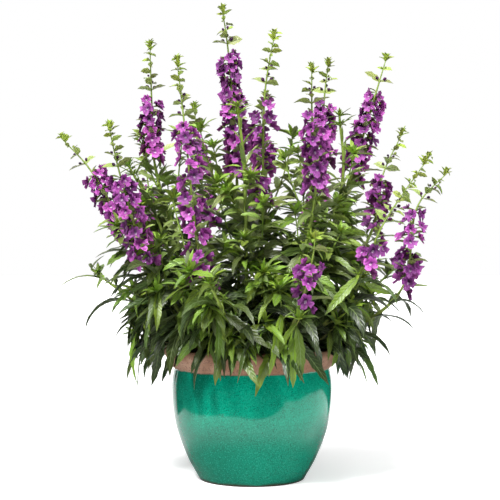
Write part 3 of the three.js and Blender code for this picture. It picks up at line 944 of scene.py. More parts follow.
def new_group(name: str, inputs: dict, outputs: dict) -> tuple:
    """Start a shader node group.

    Args:
        name: Name of the group.
        inputs: Socket type for each input's name.
        outputs: Socket type for each output's name.

    Returns:
        The tree, a graph on it, and its input and output nodes.
    """
    tree = bpy.data.node_groups.new(name, "ShaderNodeTree")
    for socket, kind in inputs.items():
        tree.interface.new_socket(name=socket, in_out="INPUT", socket_type=kind)
    for socket, kind in outputs.items():
        tree.interface.new_socket(name=socket, in_out="OUTPUT", socket_type=kind)
    graph = Graph(tree)
    return tree, graph, graph.node("NodeGroupInput"), graph.node("NodeGroupOutput")


def own_shade_group() -> bpy.types.NodeTree:
    """A group that gives each item its own shade of a colour, from its tint, and mottles it."""
    inputs = {"Color": "NodeSocketColor", "Strength": "NodeSocketFloat", "Mottle": "NodeSocketFloat"}
    tree, graph, given, out = new_group("own_shade", inputs, {"Color": "NodeSocketColor"})
    tint = graph.attribute("tint")
    tone = graph.node("ShaderNodeHueSaturation")
    spare = graph.math("SUBTRACT", graph.noise(55.0), 0.5)
    value = graph.math("MULTIPLY", graph.math("SUBTRACT", tint, 0.5), given.outputs["Strength"])
    mottled = graph.math("MULTIPLY_ADD", spare, given.outputs["Mottle"], value)
    graph.feed(tone.inputs["Value"], graph.math("ADD", mottled, 1.0))
    graph.feed(tone.inputs["Hue"], graph.math("MULTIPLY_ADD", tint, 0.03, 0.485))
    graph.feed(tone.inputs["Color"], given.outputs["Color"])
    graph.feed(out.inputs["Color"], tone.outputs["Color"])
    return tree


def blade_relief_group() -> bpy.types.NodeTree:
    """A group that draws a leaf's midrib and its slanting side veins, from its own coordinates."""
    outputs = {"Midrib": "NodeSocketFloat", "Veins": "NodeSocketFloat", "Height": "NodeSocketFloat"}
    tree, graph, _, out = new_group("blade_relief", {}, outputs)
    split = graph.node("ShaderNodeSeparateXYZ")
    graph.feed(split.inputs[0], graph.node("ShaderNodeUVMap", uv_map="blade").outputs["UV"])
    distance = graph.math("ABSOLUTE", graph.math("SUBTRACT", split.outputs["X"], 0.5))
    midrib = graph.smooth(distance, 0.015, 0.07, 1.0, 0.0)
    slant = graph.math("SUBTRACT", graph.math("MULTIPLY", split.outputs["Y"], 70.0), graph.math("MULTIPLY", distance, 16.0))
    wave = graph.math("SINE", slant)
    veins = graph.smooth(wave, 0.55, 1.0)
    height = graph.math("SUBTRACT", graph.math("MULTIPLY", wave, -0.25), graph.math("MULTIPLY", midrib, 0.8))
    graph.feed(out.inputs["Midrib"], midrib)
    graph.feed(out.inputs["Veins"], veins)
    graph.feed(out.inputs["Height"], height)
    return tree


def new_material(name: str) -> tuple:
    """Start a material.

    Args:
        name: Name of the material.

    Returns:
        The material, a graph on its nodes, and its main shader.
    """
    material = bpy.data.materials.new(name)
    material.use_nodes = True
    graph = Graph(material.node_tree)
    shader = next(node for node in material.node_tree.nodes if node.type == "BSDF_PRINCIPLED")
    return material, graph, shader


def add_bump(graph: Graph, shader: bpy.types.Node, height, strength: float, distance: float) -> None:
    """Give a shader a bump from a height, whose full range is a distance in metres."""
    bump = graph.node("ShaderNodeBump")
    bump.inputs["Strength"].default_value = strength
    bump.inputs["Distance"].default_value = distance
    graph.feed(bump.inputs["Height"], height)
    graph.feed(shader.inputs["Normal"], bump.outputs["Normal"])


@dataclass(frozen=True)
class PotFinish:
    """Glossy speckled glaze with a wavering edge, over bare matte clay. Its dark runs also carry painted shade,
    under the leaves and on the left side.
    """

    glaze: tuple = (0.001, 0.39, 0.245, 1)
    deep_glaze: tuple = (0.001, 0.13, 0.08, 1)
    fleck: tuple = (0.03, 0.42, 0.3, 1)
    speckle: tuple = (0.001, 0.07, 0.045, 1)
    edge: tuple = (0.03, 0.022, 0.016, 1)
    clay: tuple = (0.235, 0.115, 0.066, 1)
    pale_clay: tuple = (0.36, 0.215, 0.145, 1)
    pit: tuple = (0.12, 0.055, 0.04, 1)
    edge_waver: float = 0.006

    def make(self) -> bpy.types.Material:
        """Build the material."""
        material, graph, shader = new_material("glazed_pot")
        split = graph.node("ShaderNodeSeparateXYZ")
        graph.feed(split.inputs[0], graph.place())
        waver = graph.math("MULTIPLY", graph.math("SUBTRACT", graph.noise(28.0, 4.0), 0.5), self.edge_waver)
        height = graph.math("ADD", split.outputs["Z"], waver)
        upper = graph.smooth(height, 0.1388, 0.1402, 1.0, 0.0)
        lower = graph.smooth(height, 0.0004, 0.0016)
        glazed = graph.math("MULTIPLY", graph.math("MULTIPLY", upper, lower), graph.attribute("reach"))
        thin = graph.math("MULTIPLY", graph.smooth(height, 0.137, 0.1398), 0.45)
        thin = graph.math("MAXIMUM", thin, graph.smooth(height, 0.001, 0.005, 0.8, 0.0))
        # Dark glaze runs that grow towards the top: partly the glaze's own runs, partly painted shade of the
        # leaves above the belly.
        runs = graph.noise(26.0, 2.0, graph.stretched((1.0, 1.0, 0.35)))
        runs = graph.math("MULTIPLY", graph.smooth(runs, 0.42, 0.64), graph.smooth(height, 0.04, 0.12, 0.3, 0.9))
        # Painted shade: the runs deepen towards the left side of the pot.
        runs = graph.math("MULTIPLY", runs, graph.smooth(split.outputs["X"], -0.09, 0.03, 1.1, 0.4))
        # The glaze darkens low on the belly, and more on the left, where it is painted shade.
        low = graph.math("MULTIPLY", graph.smooth(height, 0.06, 0.1, 1.0, 0.0), graph.smooth(split.outputs["X"], -0.06, 0.04, 0.86, 0.62))
        runs = graph.math("MAXIMUM", runs, low)
        # Painted shade: the left edge of the belly darkens further.
        runs = graph.math("MAXIMUM", runs, graph.smooth(split.outputs["X"], -0.1, -0.045, 0.95, 0.0))
        colour = graph.mix(runs, self.glaze, self.deep_glaze)
        sand = graph.noise(700.0, 2.0)
        colour = graph.mix(graph.smooth(sand, 0.36, 0.5, 0.55, 0.0), colour, self.deep_glaze)
        colour = graph.mix(graph.smooth(sand, 0.54, 0.7, 0.0, 0.45), colour, self.fleck)
        spots = graph.node("ShaderNodeTexVoronoi")
        graph.feed(spots.inputs["Vector"], graph.place())
        spots.inputs["Scale"].default_value = 480.0
        dots = graph.smooth(spots.outputs["Distance"], 0.15, 0.45, 1.0, 0.0)
        dots = graph.math("MULTIPLY", dots, graph.smooth(graph.noise(130.0, 2.0), 0.42, 0.62))
        colour = graph.mix(graph.math("MULTIPLY", dots, 0.75), colour, self.speckle)
        colour = graph.mix(thin, colour, self.edge)
        chalk = graph.smooth(graph.noise(38.0, 6.0), 0.42, 0.75)
        clay = graph.mix(chalk, self.clay, self.pale_clay)
        clay = graph.mix(graph.smooth(graph.noise(420.0, 3.0), 0.32, 0.46, 0.8, 0.0), clay, self.pit)
        clay = graph.mix(graph.smooth(height, 0.004, 0.012, 0.85, 0.0), clay, self.edge)
        graph.feed(shader.inputs["Base Color"], graph.mix(glazed, clay, colour))
        graph.feed(shader.inputs["Roughness"], graph.math("MULTIPLY_ADD", glazed, -0.76, 0.86))
        grain = graph.math("MULTIPLY", graph.noise(420.0, 4.0), graph.smooth(glazed, 0.0, 1.0, 2.5, 0.0))
        pitted = graph.math("SUBTRACT", grain, graph.math("MULTIPLY", dots, 0.12))
        swell = graph.math("MULTIPLY", graph.noise(16.0, 1.0), 1.6)
        rolled = graph.math("MULTIPLY", graph.smooth(glazed, 0.0, 1.0), 0.9)
        add_bump(graph, shader, graph.math("ADD", graph.math("ADD", pitted, swell), rolled), 0.55, 0.0004)
        return material


@dataclass(frozen=True)
class SoilFinish:
    """Crumbly dark potting mix with pale granules."""

    dark: tuple = (0.018, 0.011, 0.007, 1)
    light: tuple = (0.075, 0.045, 0.028, 1)
    granule: tuple = (0.72, 0.7, 0.66, 1)

    def make(self) -> bpy.types.Material:
        """Build the material."""
        material, graph, shader = new_material("potting_soil")
        crumb = graph.noise(320.0, 6.0)
        soil = graph.mix(graph.smooth(crumb, 0.35, 0.7), self.dark, self.light)
        graph.feed(shader.inputs["Base Color"], graph.mix(graph.attribute("age"), soil, self.granule))
        shader.inputs["Roughness"].default_value = 0.95
        add_bump(graph, shader, crumb, 0.9, 0.0016)
        return material


@dataclass(frozen=True)
class LeafFinish:
    """A narrow leaf: dark above with a grey gloss, pale below, bright while it is young, and with a painted grey
    sheen high in the mound.
    """

    name: str
    mature: tuple
    young: tuple
    below: tuple
    rib: tuple
    # Pale grey-olive of the painted sheen on leaves high in the mound.
    upper: tuple = (0.35, 0.375, 0.155, 1)

    def make(self, shade: bpy.types.NodeTree, relief: bpy.types.NodeTree) -> bpy.types.Material:
        """Build the material.

        Args:
            shade: Group for each leaf's own shade.
            relief: Group for the veins.

        Returns:
            The material.
        """
        material, graph, shader = new_material(self.name)
        veins = graph.group(relief)
        split = graph.node("ShaderNodeSeparateXYZ")
        graph.feed(split.inputs[0], graph.place())
        # Painted sheen: leaves from 0.22 m up turn towards a pale grey-olive, as if lit and glossy.
        mature = graph.mix(graph.smooth(split.outputs["Z"], 0.22, 0.44, 0.0, 0.8), self.mature, self.upper)
        age = graph.attribute("age")
        colour = graph.mix(age, mature, self.young)
        matt = graph.math("MULTIPLY_ADD", age, -0.65, 0.75)
        colour = graph.mix(graph.math("MULTIPLY", graph.attribute("under"), matt), colour, self.below)
        colour = graph.mix(graph.math("MULTIPLY", veins.outputs["Veins"], 0.3), colour, self.rib)
        colour = graph.mix(graph.math("MULTIPLY", veins.outputs["Midrib"], 0.8), colour, self.rib)
        own = graph.group(shade, Color=colour, Strength=0.6, Mottle=0.6)
        graph.feed(shader.inputs["Base Color"], own.outputs["Color"])
        rough = graph.math("MULTIPLY_ADD", graph.noise(90.0), 0.22, 0.28)
        graph.feed(shader.inputs["Roughness"], rough)
        shader.inputs["Specular IOR Level"].default_value = 0.5
        add_bump(graph, shader, veins.outputs["Height"], 0.9, 0.0005)
        return material


@dataclass(frozen=True)
class StemFinish:
    """A ribbed stem that is yellow-green above and brownish at its foot."""

    green: tuple = (0.22, 0.31, 0.045, 1)
    foot: tuple = (0.12, 0.1, 0.03, 1)

    def make(self, shade: bpy.types.NodeTree) -> bpy.types.Material:
        """Build the material, with a group for each stem's own shade."""
        material, graph, shader = new_material("green_stem")
        split = graph.node("ShaderNodeSeparateXYZ")
        graph.feed(split.inputs[0], graph.place())
        colour = graph.mix(graph.smooth(split.outputs["Z"], 0.15, 0.25), self.foot, self.green)
        own = graph.group(shade, Color=colour, Strength=0.3, Mottle=0.7)
        graph.feed(shader.inputs["Base Color"], own.outputs["Color"])
        shader.inputs["Roughness"].default_value = 0.5
        ribs = graph.node("ShaderNodeSeparateXYZ")
        graph.feed(ribs.inputs[0], graph.node("ShaderNodeUVMap", uv_map="blade").outputs["UV"])
        ridge = graph.math("SINE", graph.math("MULTIPLY", ribs.outputs["X"], 8 * math.pi))
        add_bump(graph, shader, ridge, 0.4, 0.0003)
        return material


@dataclass(frozen=True)
class PetalFinish:
    """A violet petal: brighter towards its edge, dark lines to the throat, and a pale spotted throat, with painted
    shade deep in the throat and in the hollows of its crumples.
    """

    bright: tuple = (0.43, 0.095, 0.41, 1)
    middle: tuple = (0.25, 0.02, 0.24, 1)
    dark: tuple = (0.035, 0.002, 0.045, 1)
    throat: tuple = (0.66, 0.46, 0.64, 1)

    def make(self, shade: bpy.types.NodeTree) -> bpy.types.Material:
        """Build the material, with a group for each flower's own shade."""
        material, graph, shader = new_material("petal")
        reach = graph.attribute("reach")
        split = graph.node("ShaderNodeSeparateXYZ")
        graph.feed(split.inputs[0], graph.node("ShaderNodeUVMap", uv_map="blade").outputs["UV"])
        level = graph.math("SUBTRACT", split.outputs["X"], 0.5)
        upright = graph.math("SUBTRACT", split.outputs["Y"], 0.5)
        angle = graph.math("ARCTAN2", upright, level)
        lines = graph.smooth(graph.math("SINE", graph.math("MULTIPLY", angle, 25.0)), 0.2, 1.0)
        colour = graph.mix(graph.smooth(reach, 0.25, 0.95), self.middle, self.bright)
        faded = graph.math("MULTIPLY", lines, graph.smooth(reach, 0.3, 0.9, 0.55, 0.0))
        colour = graph.mix(faded, colour, self.dark)
        # Painted shade: the petals darken to near black deep in the throat, and at the back towards the stalk.
        colour = graph.mix(graph.smooth(reach, 0.05, 0.3, 0.85, 0.0), colour, self.dark)
        below = graph.math("POWER", graph.math("ADD", upright, 0.12), 2.0)
        lip = graph.math("ADD", below, graph.math("POWER", level, 2.0))
        pale = graph.smooth(lip, 0.002, 0.007, 0.85, 0.0)
        pale = graph.math("MULTIPLY", pale, graph.math("SUBTRACT", 1.0, graph.attribute("under")))
        dots = graph.smooth(graph.noise(1400.0, 1.0), 0.5, 0.6)
        colour = graph.mix(pale, colour, graph.mix(dots, self.throat, self.dark))
        # Crumples: the bump's hollows are darkened, partly mottled colour and partly painted shade in the hollows.
        crumple = graph.noise(260.0, 3.0)
        colour = graph.mix(graph.smooth(crumple, 0.36, 0.52, 0.55, 0.0), colour, self.dark)
        own = graph.group(shade, Color=colour, Strength=0.8, Mottle=0.6)
        graph.feed(shader.inputs["Base Color"], own.outputs["Color"])
        shader.inputs["Roughness"].default_value = 0.5
        shader.inputs["Specular IOR Level"].default_value = 0.4
        folds = graph.math("MULTIPLY_ADD", crumple, 3.0, graph.math("MULTIPLY", lines, 0.4))
        add_bump(graph, shader, folds, 0.8, 0.0006)
        return material


class Finishes:
    """All materials of the plant and its pot."""

    def __init__(self) -> None:
        """Build the shared node groups and the materials."""
        shade = own_shade_group()
        relief = blade_relief_group()
        rib = (0.16, 0.23, 0.08, 1)
        leaf = LeafFinish("leaf", (0.012, 0.026, 0.005, 1), (0.29, 0.46, 0.035, 1), (0.05, 0.07, 0.027, 1), rib)
        bract = LeafFinish("bract", (0.16, 0.23, 0.06, 1), (0.38, 0.5, 0.045, 1), (0.22, 0.28, 0.09, 1), rib)
        self.leaf = leaf.make(shade, relief)
        self.bract = bract.make(shade, relief)
        self.stem = StemFinish().make(shade)
        self.petal = PetalFinish().make(shade)
        self.pot = PotFinish().make()
        self.soil = SoilFinish().make()


def finish_piece(piece: bpy.types.Object, node: str) -> None:
    """Hand a piece to the frame in place of a node, and report it."""
    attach(piece, "root")
    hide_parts(node)
    log.info("%s: %d vertices, %d faces", piece.name, len(piece.data.vertices), len(piece.data.polygons))


class Lathe:
    """An outline turned about the upright axis: a closed ring, or a solid with a pole at each end."""

    def __init__(self, outline: np.ndarray, sides: int, poles: tuple = ()) -> None:
        """Keep the outline.

        Args:
            outline: Radius and height in mm, in the order that keeps the solid on its right.
            sides: Steps round the axis.
            poles: Heights on the axis where the solid starts and ends. Without them the outline is a ring.
        """
        self.outline = outline
        self.sides = sides
        self.poles = poles

    def shape(self) -> Shape:
        """The faces between the turned outlines, closed all round, with an unrolled atlas."""
        rings = len(self.outline)
        ends = len(self.poles) // 2
        rows = rings + ends
        turn = np.arange(self.sides)
        ring, side = (grid.ravel() for grid in np.meshgrid(np.arange(rings - ends), turn, indexing="ij"))
        low, high = ring * self.sides, (ring + 1) % rings * self.sides
        after = (side + 1) % self.sides
        corners = [np.stack([low + side, low + after, high + after, high + side], 1)]
        span = np.stack([side, side + 1, side + 1, side], 1) / self.sides
        rise = (np.stack([ring, ring, ring + 1, ring + 1], 1) + ends) / rows
        cells = [np.stack([span, rise], -1)]
        if ends:
            pole = np.full(self.sides, rings * self.sides)
            last = (rings - 1) * self.sides
            onward = (turn + 1) % self.sides
            corners.append(np.stack([pole, onward, turn], 1))
            corners.append(np.stack([last + turn, last + onward, pole + 1], 1))
            fan = np.stack([turn + 0.5, turn + 1, turn], 1) / self.sides
            cells.append(np.stack([fan, np.tile([0, 1 / rows, 1 / rows], (self.sides, 1))], -1))
            fan = np.stack([turn, turn + 1, turn + 0.5], 1) / self.sides
            cells.append(np.stack([fan, np.tile([1 - 1 / rows, 1 - 1 / rows, 1], (self.sides, 1))], -1))
        cell = np.concatenate([part.reshape(-1, 2) for part in cells])
        sizes = np.concatenate([np.full(len(part), part.shape[1]) for part in corners])
        return Shape(
            corners=np.concatenate([part.ravel() for part in corners]),
            sizes=sizes,
            cell=cell,
            blade=cell,
            slots=np.zeros(len(sizes), int),
            under=np.zeros(len(sizes)),
            sharp=np.zeros(rings * self.sides + 2 * ends, bool),
        )

    def points(self) -> np.ndarray:
        """The outline at each step round the axis, ring by ring, and the poles."""
        turn = 2 * np.pi * np.arange(self.sides) / self.sides
        radius = self.outline[:, :1]
        height = np.broadcast_to(self.outline[:, 1:], (len(self.outline), self.sides))
        rings = np.stack([radius * np.cos(turn), radius * np.sin(turn), height], -1).reshape(-1, 3)
        return np.concatenate([rings, [(0.0, 0.0, pole) for pole in self.poles]]) if self.poles else rings


def rounded(corners: list, radius: float, steps: int = 4) -> np.ndarray:
    """A polyline with its inner corners cut to short curves.

    Args:
        corners: Points of the line.
        radius: How far from a corner its curve starts, at most.
        steps: Points in a curve.

    Returns:
        The points of the rounded line. A curve is a parabola between the cuts, drawn towards the corner.
    """
    points = np.array(corners, float)
    rows = [points[:1]]
    part = np.linspace(0, 1, steps)[:, None]
    for before, corner, after in zip(points, points[1:], points[2:]):
        reach = min(radius, np.linalg.norm(corner - before) / 2.2, np.linalg.norm(after - corner) / 2.2)
        start = corner + unit(before - corner) * reach
        end = corner + unit(after - corner) * reach
        rows.append((1 - part) ** 2 * start + 2 * part * (1 - part) * corner + part**2 * end)
    rows.append(points[-1:])
    return np.concatenate(rows)


def belly(steps: int, inset: float = 0.0) -> np.ndarray:
    """The belly's outline from the foot to the neck.

    Args:
        steps: Steps along it.
        inset: How far inside the outer skin it lies, in mm.

    Returns:
        Radius and height, on the smooth line through the belly's marks.
    """
    line = Course([(radius, 0.0, height) for radius, height in BELLY])
    points = line.at(np.linspace(0, 1, steps + 1))[:, [0, 2]]
    return points - (inset, 0.0)


class Pot:
    """The pot: foot ring, glazed belly, bare rim with a rounded lip, wall and drain hole."""

    SIDES = 160
    UNEVEN = 0.25

    def outline(self) -> tuple[np.ndarray, np.ndarray]:
        """The closed outline, and which of its points are glazed."""
        foot = rounded(
            [
                (DRAIN_RADIUS, FLOOR),
                (DRAIN_RADIUS, FOOT_RECESS),
                (FOOT_RADIUS - FOOT_WIDTH - 1, FOOT_RECESS),
                (FOOT_RADIUS - FOOT_WIDTH, 0),
                (FOOT_RADIUS, 0),
                BELLY[0],
            ],
            1.2,
        )
        skin = belly(40)
        rim = rounded(
            [
                (NECK_RADIUS, GLAZE_TOP),
                (NECK_RADIUS + 2.2, GLAZE_TOP + 1.2),
                (RIM_RADIUS - 0.6, RIM_TOP - 8),
                (RIM_RADIUS, RIM_TOP - 4),
                (RIM_RADIUS - 1.2, RIM_TOP),
                (RIM_RADIUS - LIP_WIDTH, RIM_TOP),
                (RIM_RADIUS - LIP_WIDTH - 1.5, RIM_TOP - 3),
                (NECK_RADIUS - WALL, GLAZE_TOP),
            ],
            3.0,
        )
        inside = belly(16, WALL)[::-1]
        inside = inside[inside[:, 1] > FLOOR + 6]
        floor = np.array([(FOOT_RADIUS - WALL, FLOOR)])
        outline = np.concatenate([foot[:-1], skin, rim[1:-1], inside, floor])
        glazed = np.zeros(len(outline))
        glazed[len(foot) - 1 : len(foot) - 1 + len(skin) + 1] = 1.0
        return outline, glazed

    def build(self, finishes: Finishes) -> None:
        """Make the piece. Its radius wavers by a fraction of a millimetre, as a thrown pot's does."""
        outline, glazed = self.outline()
        lathe = Lathe(outline, self.SIDES)
        points = lathe.points()
        turn = np.arctan2(points[:, 1], points[:, 0])
        waver = self.UNEVEN * (np.sin(2 * turn + 0.04 * points[:, 2]) + 0.4 * np.sin(5 * turn))
        body = (points[:, 2] > 20) & (np.hypot(points[:, 0], points[:, 1]) > 60)
        outwards = points[:, :2] / np.linalg.norm(points[:, :2], axis=1, keepdims=True)
        points[:, :2] += outwards * (waver * body)[:, None]
        mesh = PieceMesh()
        mesh.add(lathe.shape(), points[None], reach=np.repeat(glazed, self.SIDES)[None])
        finish_piece(mesh.build("pot_fine", [finishes.pot]), "pot")


class Soil:
    """The potting soil: a crumbly crown with pale granules, in the shape of the pot's inside."""

    SIDES = 120
    LUMP = 1.5
    GRANULES = 220

    def lumps(self, points: np.ndarray) -> np.ndarray:
        """Heights of the crumbs: a sum of waves in repeatable directions."""
        item = np.arange(28)
        turn = 2 * np.pi * chance(90, item, 1)
        pace = 0.08 + 0.55 * chance(90, item, 2)
        phase = 2 * np.pi * chance(90, item, 3)
        way = np.stack([np.cos(turn), np.sin(turn)], 1) * pace[:, None]
        waves = np.sin(points[:, :2] @ way.T + phase)
        return self.LUMP * waves.sum(axis=1) / math.sqrt(len(item))

    def build(self, finishes: Finishes) -> None:
        """Make the piece."""
        wall = belly(16, WALL + SOIL_GAP)
        wall = wall[(wall[:, 1] > FLOOR + 6) & (wall[:, 1] < SOIL_EDGE)]
        edge = NECK_RADIUS - WALL + (SOIL_EDGE - GLAZE_TOP) / 2.2 - SOIL_GAP
        radii = np.linspace(edge, 2.5, 34)
        crown = np.stack([radii, SOIL_EDGE + (SOIL_CROWN - SOIL_EDGE) * (1 - (radii / edge) ** 2)], 1)
        bottom = FLOOR + SOIL_GAP
        start = [(DRAIN_RADIUS, bottom), (FOOT_RADIUS - WALL - SOIL_GAP, bottom)]
        lathe = Lathe(np.concatenate([start, wall, crown]), self.SIDES, (bottom, SOIL_CROWN))
        points = lathe.points()
        height = points[:, 2]
        radius = np.hypot(points[:, 0], points[:, 1])
        top = height > SOIL_EDGE - 1
        points[:, 2] += np.where(top, self.lumps(points) * np.clip((edge - radius) / 4, 0.1, 1), 0.0)
        mesh = PieceMesh()
        mesh.add(lathe.shape(), points[None])
        knob = KnobShape(0)
        item = Kind.GRANULE + np.arange(self.GRANULES)
        turn = 2 * np.pi * chance(91, item, 0)
        out = (edge - 4) * np.sqrt(chance(91, item, 1))
        spot = np.stack([out * np.cos(turn), out * np.sin(turn)], 1)
        level = SOIL_EDGE + (SOIL_CROWN - SOIL_EDGE) * (1 - (out / edge) ** 2)
        centre = np.column_stack([spot, level + self.lumps(spot)])
        along = unit(np.stack([spread(91, item, k) for k in (2, 3, 4)], 1))
        size = 1.0 + 1.6 * chance(91, item, 5) ** 2
        pale = (chance(91, item, 6) > 0.45).astype(float)[:, None]
        mesh.add(knob.shape, knob.place(centre, along, size, size * 1.3), age=pale)
        finish_piece(mesh.build("soil_fine", [finishes.soil]), "soil")


class Greenery:
    """The leaves and side branches of one green stem."""

    FINE_WIDTH = 0.78
    FOLD = 0.3
    THINNING = 0.5
    SHOOT_THINNING = 0.85

    def __init__(self, plant: Plant) -> None:
        """Keep the plant and its line."""
        self.plant = plant
        self.course = plant.course
        self.end = plant.green_end
        self.tall = not plant.flowers and plant.marks[-1][2] > MOUND_HEIGHT + 40

    def heading(self, base: np.ndarray, item: np.ndarray, attempt: int) -> np.ndarray:
        """Compass directions of leaves: pairs turn up the stem, and outer stems' leaves turn outwards."""
        index = self.plant.index
        start = STEM_TURN * index + PAIR_TURN * (item // 2) + np.pi * (item % 2)
        turn = HEADING_SPREAD * spread(index, item, attempt * DRAWS_PER_TRY)
        heading = start + turn * (1 + attempt * TRY_TURN)
        pull = OUTWARD_PULL * np.minimum(1, np.hypot(base[:, 0], base[:, 1]) / FULL_PULL_RADIUS)
        return heading + pull * np.sin(np.arctan2(base[:, 1], base[:, 0]) - heading)

    def outward_roll(self, base: np.ndarray, heading: np.ndarray) -> np.ndarray:
        """How far leaves roll to face outwards: the outward direction's share across each leaf, turned round."""
        radius = np.maximum(np.hypot(base[:, 0], base[:, 1]), 1)
        return (base[:, 0] * np.sin(heading) - base[:, 1] * np.cos(heading)) / radius

    def tries(self, base: np.ndarray, item: np.ndarray, attempt: int) -> Blades:
        """The frame's tries at leaves, for bases and items."""
        index = self.plant.index
        height = mound_height(base)
        draw = attempt * DRAWS_PER_TRY
        share = LENGTH_MEAN + LENGTH_SPREAD * spread(index, item, draw + 3) - TRY_SHORTENING * attempt
        length = between(LEAF_LENGTHS, height) * share
        width = length * LEAF_SLENDERNESS * (1 + WIDTH_SPREAD * spread(index, item, draw + 5))
        nothing = np.zeros(len(item))
        heading = self.heading(base, item, attempt)
        return Blades(
            base=base,
            heading=heading,
            rise=between(LEAF_RISES, height) + RISE_SPREAD * spread(index, item, draw + 1),
            bend=between(LEAF_BENDS, height) + BEND_SPREAD * spread(index, item, draw + 2),
            length=length,
            half_width=width * self.FINE_WIDTH * (1 - self.freshness(base)),
            roll=ROLL_SPREAD * spread(index, item, draw + 4) + 0.45 * self.outward_roll(base, heading),
            sway=nothing,
            twist=0.7 * spread(index, item, 101),
            fold=self.FOLD * (1 + 0.5 * spread(index, item, 102)),
            age=np.clip((0.4 * height + 0.12 * spread(index, item, 103)) * height + 1.6 * self.freshness(base) ** 2, 0, 1),
            tint=chance(index, item, 104),
        )

    def main_leaves(self) -> Blades:
        """The leaves that the frame's stem carries, found by their tips among its vertices."""
        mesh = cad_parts[self.plant.node].data
        points = np.empty(3 * len(mesh.vertices))
        mesh.vertices.foreach_get("co", points)
        points = points.reshape(-1, 3) / MM
        length = self.course.chord(0, self.end)
        pairs = max(FEWEST_PAIRS, int(math.floor(length / PAIR_SPACING + 0.5)))
        item = np.arange(2 * pairs)
        part = ((item // 2 + FIRST_PAIR) / pairs) ** LOW_CROWDING
        base = self.course.section_point(0, self.end, part)
        smooth_base = self.course.at(part * self.end)
        found = []
        left = np.ones(len(item), bool)
        for attempt in range(LEAF_TRIES):
            leaves = self.tries(base, item, attempt)
            tips = leaves.midrib(np.array([1.0]))[0][:, 0]
            gap = np.linalg.norm(tips[:, None] - points[None], axis=2).min(axis=1)
            hit = left & (gap < TIP_TOLERANCE)
            leaves.base = smooth_base
            found.append(leaves.pick(hit))
            left &= ~hit
        leaves = Blades.join(found)
        if self.tall:
            leaves.length = leaves.length * (1 - 0.8 * self.freshness(leaves.base))
        return leaves

    def extra(self, base: np.ndarray, item: np.ndarray, heading: np.ndarray, scale: np.ndarray) -> Blades:
        """More leaves of the same habit, with bases, headings and sizes of their own.

        Args:
            base: Where each leaf starts.
            item: Its index.
            heading: Its compass direction.
            scale: Its length as a share of the usual one at its height.

        Returns:
            The leaves. Those that start beyond the rim and low down hang straighter and more steeply.
        """
        index = self.plant.index
        height = mound_height(base)
        hang = np.clip((np.hypot(base[:, 0], base[:, 1]) - 90) / 50, 0, 1) * (1 - height)
        fresh = self.freshness(base)
        short = (1.5 if self.tall else 1.0) * fresh
        length = between((88.0, 31.0), height**0.8) * scale * (1 - short) * (1 + 0.3 * spread(index, item, 3))
        length = length * (1 + 0.25 * hang)
        bend = between((1.3, 0.7), height) - 1.0 * hang + 0.45 * spread(index, item, 2)
        young = 0.45 * (chance(index, item, 20) > 0.93)
        return Blades(
            base=base,
            heading=heading,
            rise=between((0.35, 0.75), height) - 1.65 * hang + 0.52 * spread(index, item, 1),
            bend=np.maximum(bend, 0.08),
            length=length,
            half_width=(2.6 + length * 0.045) * (1 + 0.18 * spread(index, item, 5)),
            roll=(0.8 + 0.2 * hang) * spread(index, item, 4) + 0.7 * self.outward_roll(base, heading),
            sway=0.16 * spread(index, item, 6),
            twist=between((0.5, 0.9), height) * spread(index, item, 7),
            fold=self.FOLD * (1 + 0.5 * spread(index, item, 8)),
            age=np.clip(young + 0.4 * height**1.5 + 1.6 * fresh**2 + 0.14 * height * spread(index, item, 9), 0, 1),
            tint=chance(index, item, 10),
        )

    def freshness(self, base: np.ndarray) -> np.ndarray:
        """How much brighter leaves are towards the end of a leafy shoot."""
        if self.plant.flowers:
            return np.zeros(len(base))
        reach = 150 if self.tall else 110
        return 0.6 * np.clip(1 - np.linalg.norm(base - self.course.at(1.0), axis=1) / reach, 0, 1)

    def fillers(self) -> Blades:
        """Pairs between the frame's pairs."""
        length = self.course.chord(0, self.end)
        pairs = max(3, int(length / 17))
        item = np.arange(2 * pairs)
        part = ((item // 2 + 0.75) / (pairs + 0.2)) ** 1.2
        base = self.course.at(part * self.end)
        heading = self.heading(base, item + Kind.FILLER, 0) + 0.8 + 0.8 * spread(self.plant.index, item, 21)
        leaves = self.extra(base, item + Kind.FILLER, heading, 0.92 - 0.15 * part**3)
        return leaves.pick(self.kept(base, item + Kind.FILLER))

    def kept(self, base: np.ndarray, item: np.ndarray) -> np.ndarray:
        """Which items stay: nearly all of them low in the mound, and fewer at its top."""
        thinning = self.THINNING if self.plant.flowers else self.SHOOT_THINNING
        bare = 1.6 * self.freshness(base) if self.tall else 0.0
        return chance(self.plant.index, item, 19) > thinning * mound_height(base) ** 4 + bare

